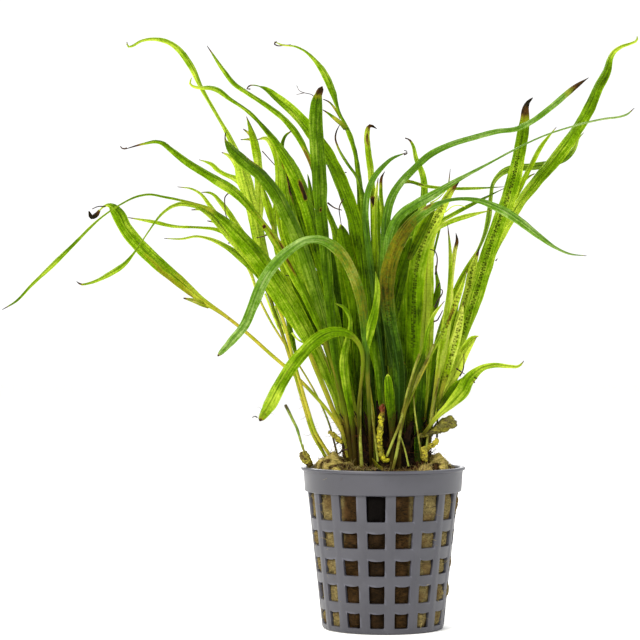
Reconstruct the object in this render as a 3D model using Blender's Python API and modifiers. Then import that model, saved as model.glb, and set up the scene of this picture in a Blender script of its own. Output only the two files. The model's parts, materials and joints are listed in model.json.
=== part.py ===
"""Potted narrow-leaf java fern: a net pot, its rockwool, the rhizomes and every larger leaf.

Blender 4.5, metres, +Z up. The origin is the centre of the pot's base, the photograph's viewer
stands at -Y, and every named size is in millimetres. Each leaf is a loft along its midrib: a
square stalk that widens to a flat blade. Its route is a list of hand-chosen places, written as
they read from the front: millimetres across and up on the plane through the pot's axis, and the
width seen there. placed() spreads them along the sight lines, and ease_apart() then moves leaves
that would touch a little nearer or farther, which leaves the front view as it is.
"""

import math
from dataclasses import dataclass

import bmesh
import bpy
import numpy as np
from mathutils import Vector, kdtree

MM = 0.001

# Where the front view is seen from
EYE_ACROSS = -20.74
EYE_UP = 101.1
EYE_DISTANCE = 800.0

# Net pot
POT_HEIGHT = 53.0
LIP_RADIUS = 27.0
LIP_THICK = 1.0
COLLAR_TOP_RADIUS = 26.2
COLLAR_FOOT_RADIUS = 25.5
COLLAR_FOOT = 45.4
WALL_TOP_RADIUS = 24.7
WALL_FOOT_RADIUS = 19.8
FOOT_ROUNDING = 1.4
FOOT_CHAMFER = 0.4
LEDGE_FOOT = 0.4
LEDGE_TOP = 1.2
LIP_EASE = 0.2
WALL = 1.0
FLOOR = 1.0
POT_FACETS = 32
GAP = 0.3

# Windows: their bottom and top heights by row, and how much of the pitch the bar takes
WINDOW_ROWS = ((1.9, 6.8), (10.0, 15.65), (18.85, 23.95), (27.7, 32.8), (36.4, 45.1))
WINDOW_COLUMNS = 16
FIRST_WINDOW_ANGLE = -7.0
BAR_WIDTH = 3.3
SLOT_COUNT = 8
SLOT_INNER = 7.0
SLOT_OUTER = 15.5
SLOT_WIDTH = 3.4
CUT_MARGIN = 1.2
MERGE_REACH = 0.01

# Rockwool and root mass; a lump is (height, x, y, spread in x, spread in y)
WOOL_FOOT = FLOOR + GAP
WOOL_TOP = 51.6
WOOL_EDGE_DROP = 1.6
WOOL_SIDE_GAP = 0.45
WOOL_FACETS = 24
WOOL_RINGS = (0.2, 0.4, 0.6, 0.8, 0.96)
WOOL_LUMPS = (
    (5.6, -16.0, -3.0, 7.0, 11.0),
    (5.4, 17.0, -2.0, 4.8, 9.0),
    (1.4, 2.0, 0.0, 12.0, 10.0),
    (-1.6, 14.0, 16.0, 9.0, 7.0),
)
MASS_CENTRE = (1.4, 0.4, 55.4)
MASS_RADII = (14.3, 10.4, 5.2)
MASS_LIFT = 0.7
MASS_FOOT_SLOPE = 0.02
MASS_WAVE = 0.02
MASS_WAVE_TURNS = (7.0, 6.0)
MASS_WAVE_STARTS = (2.0, -1.0)
WOOL_SEAT_LIFT = 0.6

# Leaves
RING_PITCH = 12.5
RING_TURN = math.radians(25.0)
FEWEST_RINGS = 6
THINNEST = 0.3
BLADE_THICK = 0.56
STALK_THICK = 0.9
STALK_WIDTH = 1.3
BLADE_WIDTH = 2.4
SEAT_GAP = 0.55
SEAT_BLEND = 9.0
SEAT_MARGIN = 1.0
SEATED_BELOW = 62.0
CLEARANCE = 1.95
STATION_PITCH = 2.0
EASE_ROUNDS = 70
EASE_SPREAD = 7.0
EASE_STEP = 0.6
EASE_TOLERANCE = 0.02
GAP_COUNTED = 12.0
# Where a blade is kept clear beside its midrib: share of its width, and the width that needs it
CLEARED_ROWS = ((-0.44, 1.3), (0.44, 1.3), (-0.22, 2.6), (0.22, 2.6))
# How finely a rhizome piece is sampled, and how far out of its middle leaves are kept clear of it
TUBE_STEPS = 2
OBSTACLE_STEPS = 4
OBSTACLE_SHARE = 0.7
DEPTH_BEND = 1.35
ROOT_TURN_SHARE = 0.45

# Colours, as they read in the photograph
GREY_PLASTIC = (0.16, 0.16, 0.18)
WOOL = (0.32, 0.24, 0.08)
ROOT_BROWN = (0.035, 0.02, 0.01)
RHIZOME_YELLOW = (0.35, 0.30, 0.04)
RHIZOME_GREY = (0.10, 0.10, 0.03)
PALE = (0.40, 0.58, 0.03)
FRESH = (0.19, 0.45, 0.01)
MID = (0.10, 0.32, 0.01)
DARK = (0.04, 0.18, 0.02)
BLUE = (0.12, 0.34, 0.10)
OLIVE = (0.22, 0.26, 0.02)
PLASTIC_ROUGHNESS = 0.42
LEAF_ROUGHNESS = 0.45
RHIZOME_ROUGHNESS = 0.6
ROOT_ROUGHNESS = 0.9
WOOL_ROUGHNESS = 0.95


@dataclass(frozen=True)
class Leaf:
    """One leaf as it reads from the front.

    Attributes:
        name: the object's name.
        colour: base colour of its material.
        turn: degrees that the blade is turned about its midrib, out of the front view's plane.
        near: depth of its root, in mm, negative towards the viewer.
        far: depth of its tip, in mm.
        route: (across, up, seen width) in mm, from the root to the tip.
    """

    name: str
    colour: tuple
    turn: float
    near: float
    far: float
    route: tuple


LEFT_LEAVES = (
    # Long pale-green blade that ends in a hooked tip at the upper left
    Leaf("leaf_left_01", FRESH, 34, 5, 36, (
        (-11.6, 59, 1.1), (-13.8, 67, 1.2), (-17, 78, 1.3), (-22.6, 90, 1.6), (-29, 101, 2.4),
        (-33.5, 110, 3), (-38, 119, 3.4), (-41, 131, 3.7), (-42.3, 137, 3.7), (-43.9, 142.5, 4.6),
        (-45.5, 148, 5), (-47.2, 154, 3), (-50.7, 161.7, 1.7), (-54.7, 168.8, 1.3),
        (-58.7, 175.5, 1.3), (-61.4, 181.2, 1.8), (-64.2, 186.6, 2.2), (-67.9, 191, 1.9),
        (-72.9, 193.3, 1.4), (-78.6, 193.3, 1), (-83.4, 191, 0.8), (-84.2, 192.6, 0.4))),
    # Blade that crosses in front of it and curls at the tip
    Leaf("leaf_left_02", MID, 44, -3, -10, (
        (-7.6, 59, 1.2), (-9, 70, 1.5), (-11.2, 81, 2), (-13.6, 92, 2.6), (-15.8, 103, 3.2),
        (-18.3, 113, 3.8), (-20.8, 123, 4.2), (-23, 132, 4.4), (-25, 139.6, 4.6),
        (-27.4, 146, 4.5), (-30.6, 152.8, 3.8), (-34.4, 158.8, 2.5), (-38, 163, 1.7),
        (-42.3, 168.1, 1.3), (-49.3, 173.2, 1.3), (-55, 177.2, 1.7), (-60.6, 177.6, 1.2),
        (-63.3, 178.6, 0.8), (-62.9, 180.8, 0.4))),
    # Slim brownish blade that leaves from behind the upright one
    Leaf("leaf_left_03", OLIVE, 40, 6, 27, (
        (-8.8, 59, 1.1), (-9, 66, 1.7), (-9.4, 76, 2.8), (-10.2, 88, 4), (-11, 99, 4.8),
        (-12, 110, 5.2), (-13.2, 120, 4.8), (-15.2, 129, 3), (-18, 136.4, 1.8),
        (-21, 144.6, 1.5), (-23.5, 152.9, 1.5), (-27.2, 160.6, 2.1),
        (-31.6, 166.4, 2.2), (-40, 173.1, 1.7), (-48.3, 178.5, 1.6), (-52.7, 183.9, 1.4),
        (-57.9, 191.3, 0.4))),
    # Broad blade behind the upright one, with a dark hooked tip
    Leaf("leaf_left_04", MID, -36, 1, 20, (
        (2.4, 59, 1.2), (2, 66, 1.3), (0.2, 78, 1.7), (-2.7, 88, 2.6), (-4.9, 101, 3.6),
        (-5.8, 113, 4.3), (-7.4, 124, 4.7), (-9.6, 133.6, 4.8), (-12.3, 142, 4.6),
        (-15.8, 150, 4.4), (-19.9, 157.4, 4.2), (-24.8, 164, 4), (-29.6, 169.4, 3.4),
        (-34.6, 173.8, 2.6), (-39, 177.2, 1.5),
        (-43.2, 178.3, 0.8), (-44.9, 177, 0.4))),
    # Slim blade of the top left, widest below its hook
    Leaf("leaf_left_05", MID, 42, 5, 46, (
        (-5, 59, 1.6), (-5.4, 70, 3), (-5.4, 84, 3), (-5.4, 100, 3.2), (-6.2, 118, 3),
        (-6.9, 134, 2.4), (-7.4, 144, 2.1), (-8.5, 152.6, 1.9), (-9.7, 159, 1.7), (-12.4, 165.4, 1.7),
        (-15.4, 172.1, 1.2), (-17.2, 178.6, 3.1), (-19.5, 182.9, 2.5), (-23.2, 187.6, 1.3),
        (-27.9, 190.8, 0.9), (-33.5, 191.7, 0.6), (-35.7, 192.6, 0.4))),
    # Dark upright blade in front, leaning to the viewer
    Leaf("leaf_left_06", DARK, 12, -9, -46, (
        (-10.3, 59, 1.3), (-12, 68, 1.6), (-14.2, 80, 2), (-16.4, 95, 2.7), (-17.7, 110, 3.2),
        (-19, 124, 3.6), (-20.4, 138, 4), (-20.9, 150, 4.9), (-21.7, 160, 4.4), (-22, 170, 3.9),
        (-21.3, 174.9, 2.6), (-20, 177.9, 0.5))),
    # Thin dark blade right of it
    Leaf("leaf_left_07", DARK, 38, 2, 8, (
        (0.6, 59, 1.2), (-0.4, 74, 2), (-2, 92, 2.8), (-3.8, 110, 3), (-5.6, 128, 2.2),
        (-6.8, 142, 1.7), (-8.2, 147.4, 1.3), (-11.4, 152.3, 1.1), (-14, 156.4, 0.8),
        (-15.6, 160.6, 0.6), (-15.2, 163.4, 0.5), (-14.3, 165.2, 0.3))),
    # Arching blade of the middle left with a black spot
    Leaf("leaf_left_08", MID, 38, -7, -27, (
        (-10.9, 60, 1.1), (-12.2, 69, 1.1), (-15.4, 82, 1.2), (-19, 94, 1.6), (-23.5, 105, 2.4),
        (-28, 114.5, 3.2), (-31.8, 121.5, 3.4), (-35.9, 128.3, 2.6), (-39.6, 133, 2.2),
        (-43.3, 137.7, 2.4), (-50, 144.5, 3), (-57.4, 148.9, 2.7), (-65.5, 153.9, 2),
        (-72.9, 159.6, 1.4), (-79, 159.1, 0.8), (-84.5, 157.4, 0.4))),
    # The longest: a broad yellow-green blade drawn out into a thin one at the far left
    Leaf("leaf_left_09", FRESH, 32, -4, -21, (
        (-12, 60.5, 1.3), (-15.2, 74, 2), (-19.6, 85.3, 2.9), (-24.4, 95.6, 4.8), (-29.6, 104.6, 6.8),
        (-35.2, 113.4, 7.2), (-42, 123.2, 6), (-49.4, 131, 4), (-55.5, 136.7, 1.8),
        (-62.9, 139.6, 0.9), (-73.4, 141.8, 0.8), (-80, 142, 0.7), (-90.5, 136.5, 0.6),
        (-100, 127.9, 1.1), (-107.5, 120.5, 1.5), (-115.1, 113.2, 1.1), (-120.9, 107.2, 0.7),
        (-125.2, 104.5, 0.4))),
    # Bent brownish blade at the far left on a long bare stalk
    Leaf("leaf_left_10", OLIVE, 20, -1, 14, (
        (-11.4, 59, 1.1), (-14, 65.3, 1.1), (-19.5, 72.8, 1.1), (-27.5, 81.5, 1.2),
        (-37, 89.9, 1.2), (-48.5, 100, 1.2), (-56.1, 105.3, 1.5), (-62.9, 110.4, 3),
        (-69.2, 116, 4.2), (-77.6, 123.2, 4.5), (-84.2, 131, 4.5), (-87.6, 137, 4),
        (-90.6, 139, 1.2), (-93.8, 136.6, 0.7))),
    # Fine straight lobe between the drawn-out blades
    Leaf("leaf_left_12", PALE, 38, 0, 20, (
        (-12.9, 60, 1.1), (-14, 70, 1.2), (-16.6, 80, 1.3), (-21, 91, 1.5), (-28, 102.5, 1.7),
        (-37, 112.8, 1.8), (-43.4, 121.4, 1.8), (-48.4, 127.4, 1.8), (-54.1, 130.8, 1.5),
        (-62, 131.7, 0.8), (-69.6, 132.1, 1.1), (-76.4, 133.7, 1.2), (-83.9, 134.8, 0.5))),
    # Second drawn-out blade, below the longest one
    Leaf("leaf_left_11", FRESH, 34, -4, -12, (
        (-18.2, 57, 1.2), (-22.6, 65, 1.2), (-26.5, 78, 1.1), (-29.8, 89, 1.1), (-32.2, 99, 1.1),
        (-36.3, 109.4, 1.3), (-41.5, 118, 2), (-47.5, 125, 2.4), (-54, 132.6, 2.2),
        (-59.5, 137.9, 1.9), (-66.5, 139.4, 1.4), (-72, 136.7, 0.9), (-77.1, 130.3, 0.6),
        (-81.8, 123.4, 0.8), (-86.8, 118.3, 1.9), (-93.5, 114.6, 1.1), (-98.6, 112.9, 0.7),
        (-100.8, 113.8, 0.4))),
    # Third, with a forked end
    Leaf("leaf_left_13", FRESH, 30, -1, 4, (
        (-19.4, 57, 1.2), (-23.2, 64, 1.2), (-27.3, 77.5, 1.1), (-30.7, 89, 1.1), (-34, 99, 1.1),
        (-38, 110.7, 1.3), (-41.4, 117, 2.6), (-46, 121.4, 2.8), (-52.8, 126, 1.6),
        (-60.2, 128.6, 0.9), (-66.6, 127.8, 0.7), (-72, 127.9, 0.4))),
    # Blue-green arch in front, the tip hanging down
    Leaf("leaf_left_14", BLUE, 14, -11, -40, (
        (-4, 59, 1.2), (-4.6, 70, 1.2), (-5.2, 84, 1.6), (-6.1, 97, 2.5), (-7.4, 108.4, 3.2),
        (-11.8, 120, 3.5), (-16.4, 125.4, 3.4), (-22, 127.6, 2.4), (-28, 126, 2.8),
        (-35, 120.2, 3.4), (-40, 113, 3.5), (-43.8, 103.6, 3.2), (-47, 97.4, 2.8),
        (-52, 92.2, 2.5), (-54.4, 89.2, 1))),
    # Lower green arch in front
    Leaf("leaf_left_15", FRESH, 16, -12, -46, (
        (-7.4, 59, 1.1), (-8.2, 72, 1), (-7.2, 81, 1.1), (-6.8, 90, 1.4), (-9.6, 95.4, 1.8),
        (-14.6, 97.4, 3), (-20.5, 95.6, 3.9), (-27, 89.8, 4), (-32.5, 82.4, 3.9),
        (-36.4, 75.4, 3.8), (-39, 70.2, 3.2), (-40.6, 67.9, 1))),
    # Small drawn-out blade on a hair-thin stalk
    Leaf("leaf_left_16", PALE, 30, 2, 14, (
        (-15.2, 58.4, 0.7), (-18.6, 69.3, 0.6), (-23, 78.5, 0.6), (-28.5, 87.6, 0.6),
        (-34.5, 96.5, 0.7), (-40.3, 107.2, 0.8), (-43.6, 117, 1.2), (-48.4, 126, 1.8),
        (-52.6, 132.4, 1.8), (-57.5, 139.6, 1.2), (-61.4, 143.7, 0.8), (-67.6, 144.9, 0.4))),
    # Pale pair behind the middle left
    Leaf("leaf_left_17", PALE, 36, 6, 40, (
        (-12.4, 60, 1.1), (-13.4, 70, 1.2), (-16.2, 81, 1.4), (-22, 94, 1.5), (-31, 108, 1.7),
        (-39.8, 121, 2), (-42.4, 131, 2.3), (-43.9, 139.6, 2.6), (-46.4, 146, 2.4),
        (-50.2, 148.3, 1.6), (-53.6, 150, 1.7), (-56.2, 152.4, 1.5), (-60.5, 153.8, 0.4))),
    Leaf("leaf_left_18", PALE, 34, 4, 26, (
        (-12, 60, 1.1), (-13.2, 71, 1.2), (-16.6, 83, 1.3), (-23, 95, 1.5), (-32, 108, 1.7),
        (-40.8, 121, 2), (-44.6, 127.6, 2.2), (-48.2, 132.8, 2), (-52.1, 138.2, 1.7),
        (-55.9, 142.6, 1.1), (-59.7, 143.1, 0.4))),
    # Blade with a dark curled tip over the middle left
    Leaf("leaf_left_19", DARK, 42, -5, -18, (
        (-11.5, 60, 1.2), (-13.4, 71, 1.4), (-15.5, 84, 2), (-18.2, 97.5, 3), (-21.6, 109.5, 4),
        (-24.8, 120.5, 4.6), (-28.4, 130, 5), (-32.6, 138.5, 4.8), (-37.2, 146.2, 4),
        (-42.6, 151.2, 3.8), (-48, 155.8, 3.4), (-51.7, 160, 2.2), (-51.6, 163, 0.6))),
    # Pale lobed blade behind
    Leaf("leaf_left_20", PALE, 36, 8, 50, (
        (-12.2, 60, 1.2), (-13.8, 68, 1.3), (-17, 80, 1.4), (-22.6, 93, 1.6), (-29.5, 106, 1.8),
        (-38.2, 119, 2.2), (-40.6, 130, 2.6), (-40.6, 140, 3.3), (-40.6, 150, 2.9),
        (-41.8, 158.3, 2.9), (-43.2, 164, 2), (-44.9, 168, 0.5))),
    # Pale blade bent over at its top
    Leaf("leaf_left_21", PALE, 30, 7, 42, (
        (-11.8, 60, 1.2), (-13.6, 69, 1.3), (-17, 82, 1.5), (-22, 94.6, 1.7), (-28.5, 108, 1.9),
        (-33.6, 120.6, 2), (-35.6, 131, 2.1), (-34.6, 142, 2), (-34.5, 151, 2),
        (-35.7, 157, 2.1), (-38.2, 160.9, 1.7), (-41.3, 160.4, 0.6))),
    # Broad blade between the two groups of the left, its thin tip bent to the right
    Leaf("leaf_left_22", DARK, 32, 0, 18, (
        (-10.6, 60, 1.2), (-12.4, 68, 1.4), (-15.4, 81, 2), (-18.8, 95, 2.8), (-22.2, 107, 4.4),
        (-25.8, 119, 5.6), (-29.2, 129, 6.4), (-31.2, 138, 5.2), (-32.4, 147, 3),
        (-33.2, 156, 1.6), (-32.4, 161, 1), (-30.1, 163.2, 0.4))),
)

CENTRE_LEAVES = (
    # Small twisted blade in front
    Leaf("leaf_centre_01", FRESH, 20, -11, -29, (
        (-9, 59, 1.3), (-10.4, 70, 2), (-12, 80, 2.5), (-12.8, 88, 2.8), (-11.8, 94, 1.9),
        (-10.6, 100.4, 1.3), (-12.4, 104.8, 1.2), (-15.6, 106.5, 0.4))),
    # Narrow light blade in front of the middle
    Leaf("leaf_centre_02", FRESH, -14, -11, -33, (
        (-2.6, 60, 0.8), (-3.2, 70, 0.9), (-4.6, 79, 1), (-5.6, 89, 1.4), (-4.6, 96.6, 3),
        (-2.9, 103, 2.3), (-2, 110, 1.8), (-2, 114, 1.2), (-2.5, 117, 0.4))),
    # Pale narrow blade behind it, its tip beside the black spot
    Leaf("leaf_centre_03", PALE, 30, 4, 14, (
        (-0.8, 59, 1.2), (-1.2, 74, 2), (-1.8, 90, 2.6), (-2.2, 108, 2.6), (-2.3, 124, 2.1),
        (-2.6, 136, 1.8), (-2.2, 143.4, 1.4), (-1.6, 147.8, 0.4))),
    # Young blunt blade at the foot of the middle
    Leaf("leaf_centre_04", FRESH, 12, -12, -20, (
        (3, 58.6, 1.4), (3, 66, 2.5), (2.5, 73.5, 3), (1.9, 79.4, 2.6), (1.5, 83.3, 0.5))),
    # Yellow blade with a black hooked tip
    Leaf("leaf_centre_07", PALE, 28, 7, 52, (
        (-1.4, 59, 1.1), (-1.4, 75, 1.2), (-2, 92, 1.4), (-2.6, 110, 1.8), (-3, 127, 2),
        (-3.2, 142, 2.1), (-4.3, 153.6, 2.3), (-5.2, 161, 2), (-4.4, 164.8, 1.2), (-2, 163.9, 0.5))),
    # Blue-green blade that arches to the right over it
    Leaf("leaf_centre_08", BLUE, -26, -1, -24, (
        (2, 59, 1.1), (1.2, 75, 1.2), (-0.8, 92, 1.4), (-3.3, 112, 1.7), (-5.2, 128, 2),
        (-5.8, 138, 2), (-4.4, 145.4, 2), (-1.6, 149.6, 1.7), (2.2, 153.8, 1.2), (7.8, 156.2, 0.5))),
    # Slender green blade with a fine brown tip
    Leaf("leaf_centre_09", FRESH, -28, 8, 56, (
        (6.2, 59, 1.4), (6.4, 75, 2.6), (6, 94, 4.4), (6.2, 112, 5.2), (9, 127, 3.8),
        (13.1, 140, 2.3), (13, 148, 2.1), (10.8, 154.2, 1.5), (9.3, 159.4, 0.9), (7.4, 161, 0.3))),
    # Short blade with a brown tip beside the middle
    Leaf("leaf_centre_13", MID, 22, 2, -6, (
        (3.4, 59, 1.1), (2.6, 78, 1.2), (1.2, 98, 1.5), (0.5, 118, 1.8), (0.1, 133, 1.8),
        (-0.6, 143, 1.3), (-0.5, 147.6, 0.9), (0.6, 150, 0.3))),
)

RIGHT_LEAVES = (
    # Long fresh-green blade that ends in a hooked tip at the upper right
    Leaf("leaf_right_01", FRESH, -34, 2, 12, (
        (12.2, 60, 1.1), (15.4, 69.6, 1.2), (19.6, 79, 1.4), (23.2, 88, 2), (26.2, 97, 2.6),
        (29.4, 106, 3), (32.6, 115, 3.2), (35.4, 123, 3.3), (39.2, 130.4, 3.3), (43.6, 137.6, 3.4),
        (48.2, 144.5, 3.6), (53.1, 149.9, 4), (58.8, 157.3, 4), (63.9, 164.4, 3.8), (67.9, 171.4, 3.5),
        (70.6, 177.8, 3.3), (73.4, 183, 3), (75, 188.3, 1.8), (78, 191, 1.3), (83, 192.8, 0.8),
        (83.5, 194.5, 0.4))),
    # Blue-green arch that crosses the right group, with a brown and black tip
    Leaf("leaf_right_02", BLUE, -22, -4, -34, (
        (4.5, 59, 1.1), (3.6, 75, 1.2), (2, 95, 2.6), (0.6, 114, 3.2), (0.6, 131, 2.8),
        (3, 142, 2.6), (8.9, 149.7, 2.3), (17, 156.6, 2), (26, 160, 1.8), (36.3, 163, 1.7),
        (44.3, 164.2, 1.8), (50.8, 167.8, 1.9), (58.5, 173.8, 1.7), (64.2, 178.7, 1.3),
        (67.6, 180.8, 0.5))),
    # Broad long blade with rows of spore spots
    Leaf("leaf_right_03", FRESH, -26, -1, -5, (
        (13.2, 60.4, 1.1), (15.8, 68.3, 1.1), (19, 76.6, 1.5), (22, 85, 2.6), (24.9, 93, 3.2),
        (27.7, 101, 4.2), (31.6, 113, 4.8), (34.6, 123.7, 4.9), (38.4, 134.1, 4.8), (42.4, 146, 4.6),
        (45, 158.6, 3.7), (46.5, 167.6, 2.9), (47.1, 172, 1.6), (49.2, 174.2, 0.5))),
    # Very thin blade that widens near the middle
    Leaf("leaf_right_04", BLUE, -24, -6, -42, (
        (4.9, 59, 1.1), (4.6, 75, 1.3), (3.8, 91, 1.8), (2.2, 108, 2.6), (1.6, 123, 3),
        (3.4, 132.2, 3.1), (7.6, 137.4, 3.1), (14.2, 140.9, 3), (20.2, 144.8, 2),
        (28, 149, 1.1), (40, 155.4, 0.7), (50.1, 160.6, 0.6), (62.9, 165, 0.6), (74, 167.6, 0.7), (79.4, 168.4, 0.7),
        (82.6, 170.8, 0.4))),
    # Blue-green arch in front of the right group, its left part mottled brown
    Leaf("leaf_right_05", BLUE, -22, -11, -50, (
        (5.2, 59, 1.6), (5.4, 72, 3), (5, 86, 4), (2.6, 98, 4.2), (1.2, 108, 4.6), (2, 119, 4.8),
        (6, 128.6, 4.2), (11, 135, 3.2), (16.6, 138.6, 2.4), (22, 140.7, 1),
        (28.6, 141, 1.4), (35.3, 139.2, 2.2), (42.1, 135.6, 2.6), (48.9, 131, 2.5), (53.9, 126.7, 1.3), (60.6, 123.1, 0.7),
        (66.9, 122.2, 0.4))),
    # Low blade that bends out to the right
    Leaf("leaf_right_06", FRESH, -18, -9, -30, (
        (15, 65.8, 1.2), (17.6, 69.2, 1.7), (22, 73.4, 3), (26, 77.8, 4.5), (28.4, 82, 3.6),
        (33.2, 85.6, 2), (38.2, 86.3, 1.5), (44, 85.8, 0.9), (46.3, 87.7, 0.5))),
    # Dark kinked blade behind
    Leaf("leaf_right_10", DARK, -16, 6, 50, (
        (11.6, 60, 1.1), (13, 71, 1.1), (15.4, 85, 1.1), (18.6, 98.5, 1), (22.5, 108.5, 0.9),
        (28, 118.4, 0.9), (32.4, 126.6, 1.1), (34.8, 135.6, 1.8), (35.5, 142.4, 1.3),
        (36.6, 146.9, 1.5), (41, 150.6, 2.5), (49, 151.6, 2.6), (58.5, 153.6, 2),
        (62.6, 157, 1.6), (64, 160.6, 1), (66, 162.7, 0.4))),
    # Pale blade behind the long ones
    Leaf("leaf_right_11", PALE, -30, 7, 42, (
        (11.4, 60, 1.1), (14.6, 70, 1.2), (18.6, 80, 1.4), (22.8, 91, 1.6), (27.2, 103.5, 1.8),
        (32, 116, 1.9), (36.6, 127.5, 1.9), (41.2, 137, 1.9), (46.4, 147.8, 1.8), (51.5, 157.6, 1.6),
        (57, 164.6, 0.4))),
    # Broad blade of the middle right with spore spots and a brown tip
    Leaf("leaf_right_12", MID, -24, -5, -22, (
        (8.4, 59, 1.6), (8.8, 72, 2.8), (9.4, 84, 3.6), (10, 97, 4.6), (10.2, 110, 5.6), (11.5, 121, 5.1),
        (14.5, 129.6, 4.4), (18.2, 136, 3.2), (21.2, 142, 2.4), (23.4, 145, 1.6), (25.6, 147.6, 0.5))),
    # Light forked blade
    Leaf("leaf_right_14", PALE, -22, -6, -11, (
        (14.2, 60.3, 1.2), (15.6, 67.6, 1.2), (17.2, 78, 1.4), (18.9, 90, 2.2), (20.2, 100, 2),
        (21.4, 109, 1.4), (22.1, 118.4, 1.2), (21.8, 126, 1.1), (21.2, 132.8, 0.4))),
    # Its other prong, with a brown tip
    Leaf("leaf_right_13", PALE, -24, -3, -6, (
        (12.8, 60.2, 1.1), (15.2, 70, 1.6), (17.2, 80, 2.4), (19.4, 91, 3), (21.2, 101, 2.6),
        (22.2, 110, 1.7), (22.8, 119, 1.3), (23.7, 124.6, 1.4), (24.3, 127.4, 1), (23.9, 129.8, 0.4))),
    # Straight spore-dotted blade with its tip among the long ones
    Leaf("leaf_right_15", FRESH, -30, 1, 1, (
        (12.9, 60.4, 1.2), (16.2, 72, 1.8), (19.8, 82.5, 3), (23, 92, 4), (26, 102, 4.2),
        (28.2, 111, 3.6), (29.7, 119.3, 2.1), (31.7, 124.8, 0.4))),
    # Thin horizontal blade behind
    Leaf("leaf_right_16", OLIVE, -30, 8, 28, (
        (4.4, 59, 1.1), (4.2, 76, 1.2), (3.4, 96, 1.3), (1.8, 116, 1.4), (0.9, 132, 1.4),
        (2.6, 142.6, 1.4), (7.3, 146.6, 1.3), (15, 145, 1.2), (25, 144.4, 1.1), (33, 144.6, 0.9),
        (39.8, 144.9, 0.4))),
    # Olive blade that bends away from the right column
    Leaf("leaf_right_17", OLIVE, -28, 2, 8, (
        (11, 59.6, 1.2), (11.9, 75, 2.2), (13.2, 91, 2.8), (14.2, 107, 2.6), (14.6, 121, 1.9),
        (16.2, 130.6, 1.7), (21, 134.8, 1.5), (28, 138.4, 1.2), (34.5, 142, 0.9), (40, 144.5, 0.4))),
    # Pale blade that bends away from the right column
    Leaf("leaf_right_18", PALE, -30, 4, 18, (
        (13.2, 60.4, 1.2), (14.4, 76, 2), (15.2, 92, 2.4), (15.6, 108, 2), (15.7, 122, 1.7),
        (17, 130.2, 1.7), (21.6, 133.3, 1.6), (29, 135.8, 1.6), (35.6, 137.2, 0.6))),
    # Spore-dotted blade on a pale stalk that crosses the foot
    Leaf("leaf_right_19", MID, -20, -10, -13, (
        (1.6, 58, 0.9), (4.3, 64.3, 0.9), (7.4, 72.2, 0.9), (11, 80.2, 1), (14.6, 88.2, 1.1),
        (18.8, 95.8, 1.4), (22.4, 103, 1.8), (25.3, 110.8, 1.9), (27.8, 117.8, 0.4))),
    # Its neighbour, ending in a small hook
    Leaf("leaf_right_20", MID, -22, -11, -19, (
        (4.5, 57.6, 0.9), (6.2, 67, 0.9), (8.1, 75, 0.9), (10.6, 83, 1.1), (13.2, 90.4, 1.3),
        (15.2, 99.6, 1.2), (17.4, 104, 1), (20.2, 107.4, 0.4))),
    # Yellow-green blade on the knobby rhizome
    Leaf("leaf_right_21", PALE, -18, -8, -15, (
        (17.8, 65.4, 0.7), (18.2, 73, 0.8), (20.4, 82, 1.8), (22.9, 91, 3.1), (25, 99, 2.4),
        (26.4, 107.2, 0.5))),
    # Short blunt blade at the right edge
    Leaf("leaf_right_22", FRESH, -20, -4, -13, (
        (13.8, 61, 1.1), (16.6, 70.4, 2), (20.6, 78, 3.2), (24.6, 85.2, 2.8), (28, 92, 2.2),
        (30.8, 95.5, 0.9))),
    # Thin upright tip among the arches
    Leaf("leaf_right_23", MID, -24, 5, 22, (
        (9.6, 59.6, 1), (10.6, 76, 1), (12, 94, 1), (14, 112, 0.9), (17.3, 126, 0.8),
        (20.4, 139, 0.7), (21.8, 147.5, 0.6), (22.1, 150.8, 0.3))),
)

LEAVES = LEFT_LEAVES + CENTRE_LEAVES + RIGHT_LEAVES


def placed(across, up, depth):
    """Return the point, in mm, seen at (across, up) from the front and lying depth behind it."""
    spread = 1.0 + depth / EYE_DISTANCE
    x = EYE_ACROSS + (across - EYE_ACROSS) * spread
    z = EYE_UP + (up - EYE_UP) * spread
    return np.stack([x, depth + 0.0 * x, z], axis=-1)


def wool_top(x, y):
    """Return the height, in mm, of the rockwool's top at (x, y)."""
    height = WOOL_TOP
    for rise, middle_x, middle_y, spread_x, spread_y in WOOL_LUMPS:
        away = ((x - middle_x) / spread_x) ** 2 + ((y - middle_y) / spread_y) ** 2
        height += rise * math.exp(-away)
    return height


def seat_height(x, y):
    """Return the height, in mm, that a leaf's root stands on at (x, y): root mass or rockwool."""
    on_wool = wool_top(x, y) + WOOL_SEAT_LIFT
    reach_x, reach_y = MASS_RADII[0] + SEAT_MARGIN, MASS_RADII[1] + SEAT_MARGIN
    away = ((x - MASS_CENTRE[0]) / reach_x) ** 2 + ((y - MASS_CENTRE[1]) / reach_y) ** 2
    if away >= 1.0:
        return on_wool
    return max(on_wool, MASS_CENTRE[2] + MASS_RADII[2] * math.sqrt(1.0 - away))


def smooth_route(points, steps=12):
    """Return a smooth curve through the points (Catmull-Rom), steps samples to a span."""
    knots = np.asarray(points, dtype=float)
    ends = np.vstack([2 * knots[0] - knots[1], knots, 2 * knots[-1] - knots[-2]])
    t = np.linspace(0.0, 1.0, steps, endpoint=False)[:, None]
    spans = []
    for k in range(len(knots) - 1):
        p0, p1, p2, p3 = ends[k:k + 4]
        cubic = -p0 + 3 * p1 - 3 * p2 + p3
        square = 2 * p0 - 5 * p1 + 4 * p2 - p3
        spans.append(0.5 * (2 * p1 + (p2 - p0) * t + square * t ** 2 + cubic * t ** 3))
    return np.vstack(spans + [knots[-1:]])


def arc_lengths(points):
    """Return the running length along a row of points."""
    steps = np.linalg.norm(np.diff(points, axis=0), axis=1)
    return np.concatenate([[0.0], np.cumsum(steps)])


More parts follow.
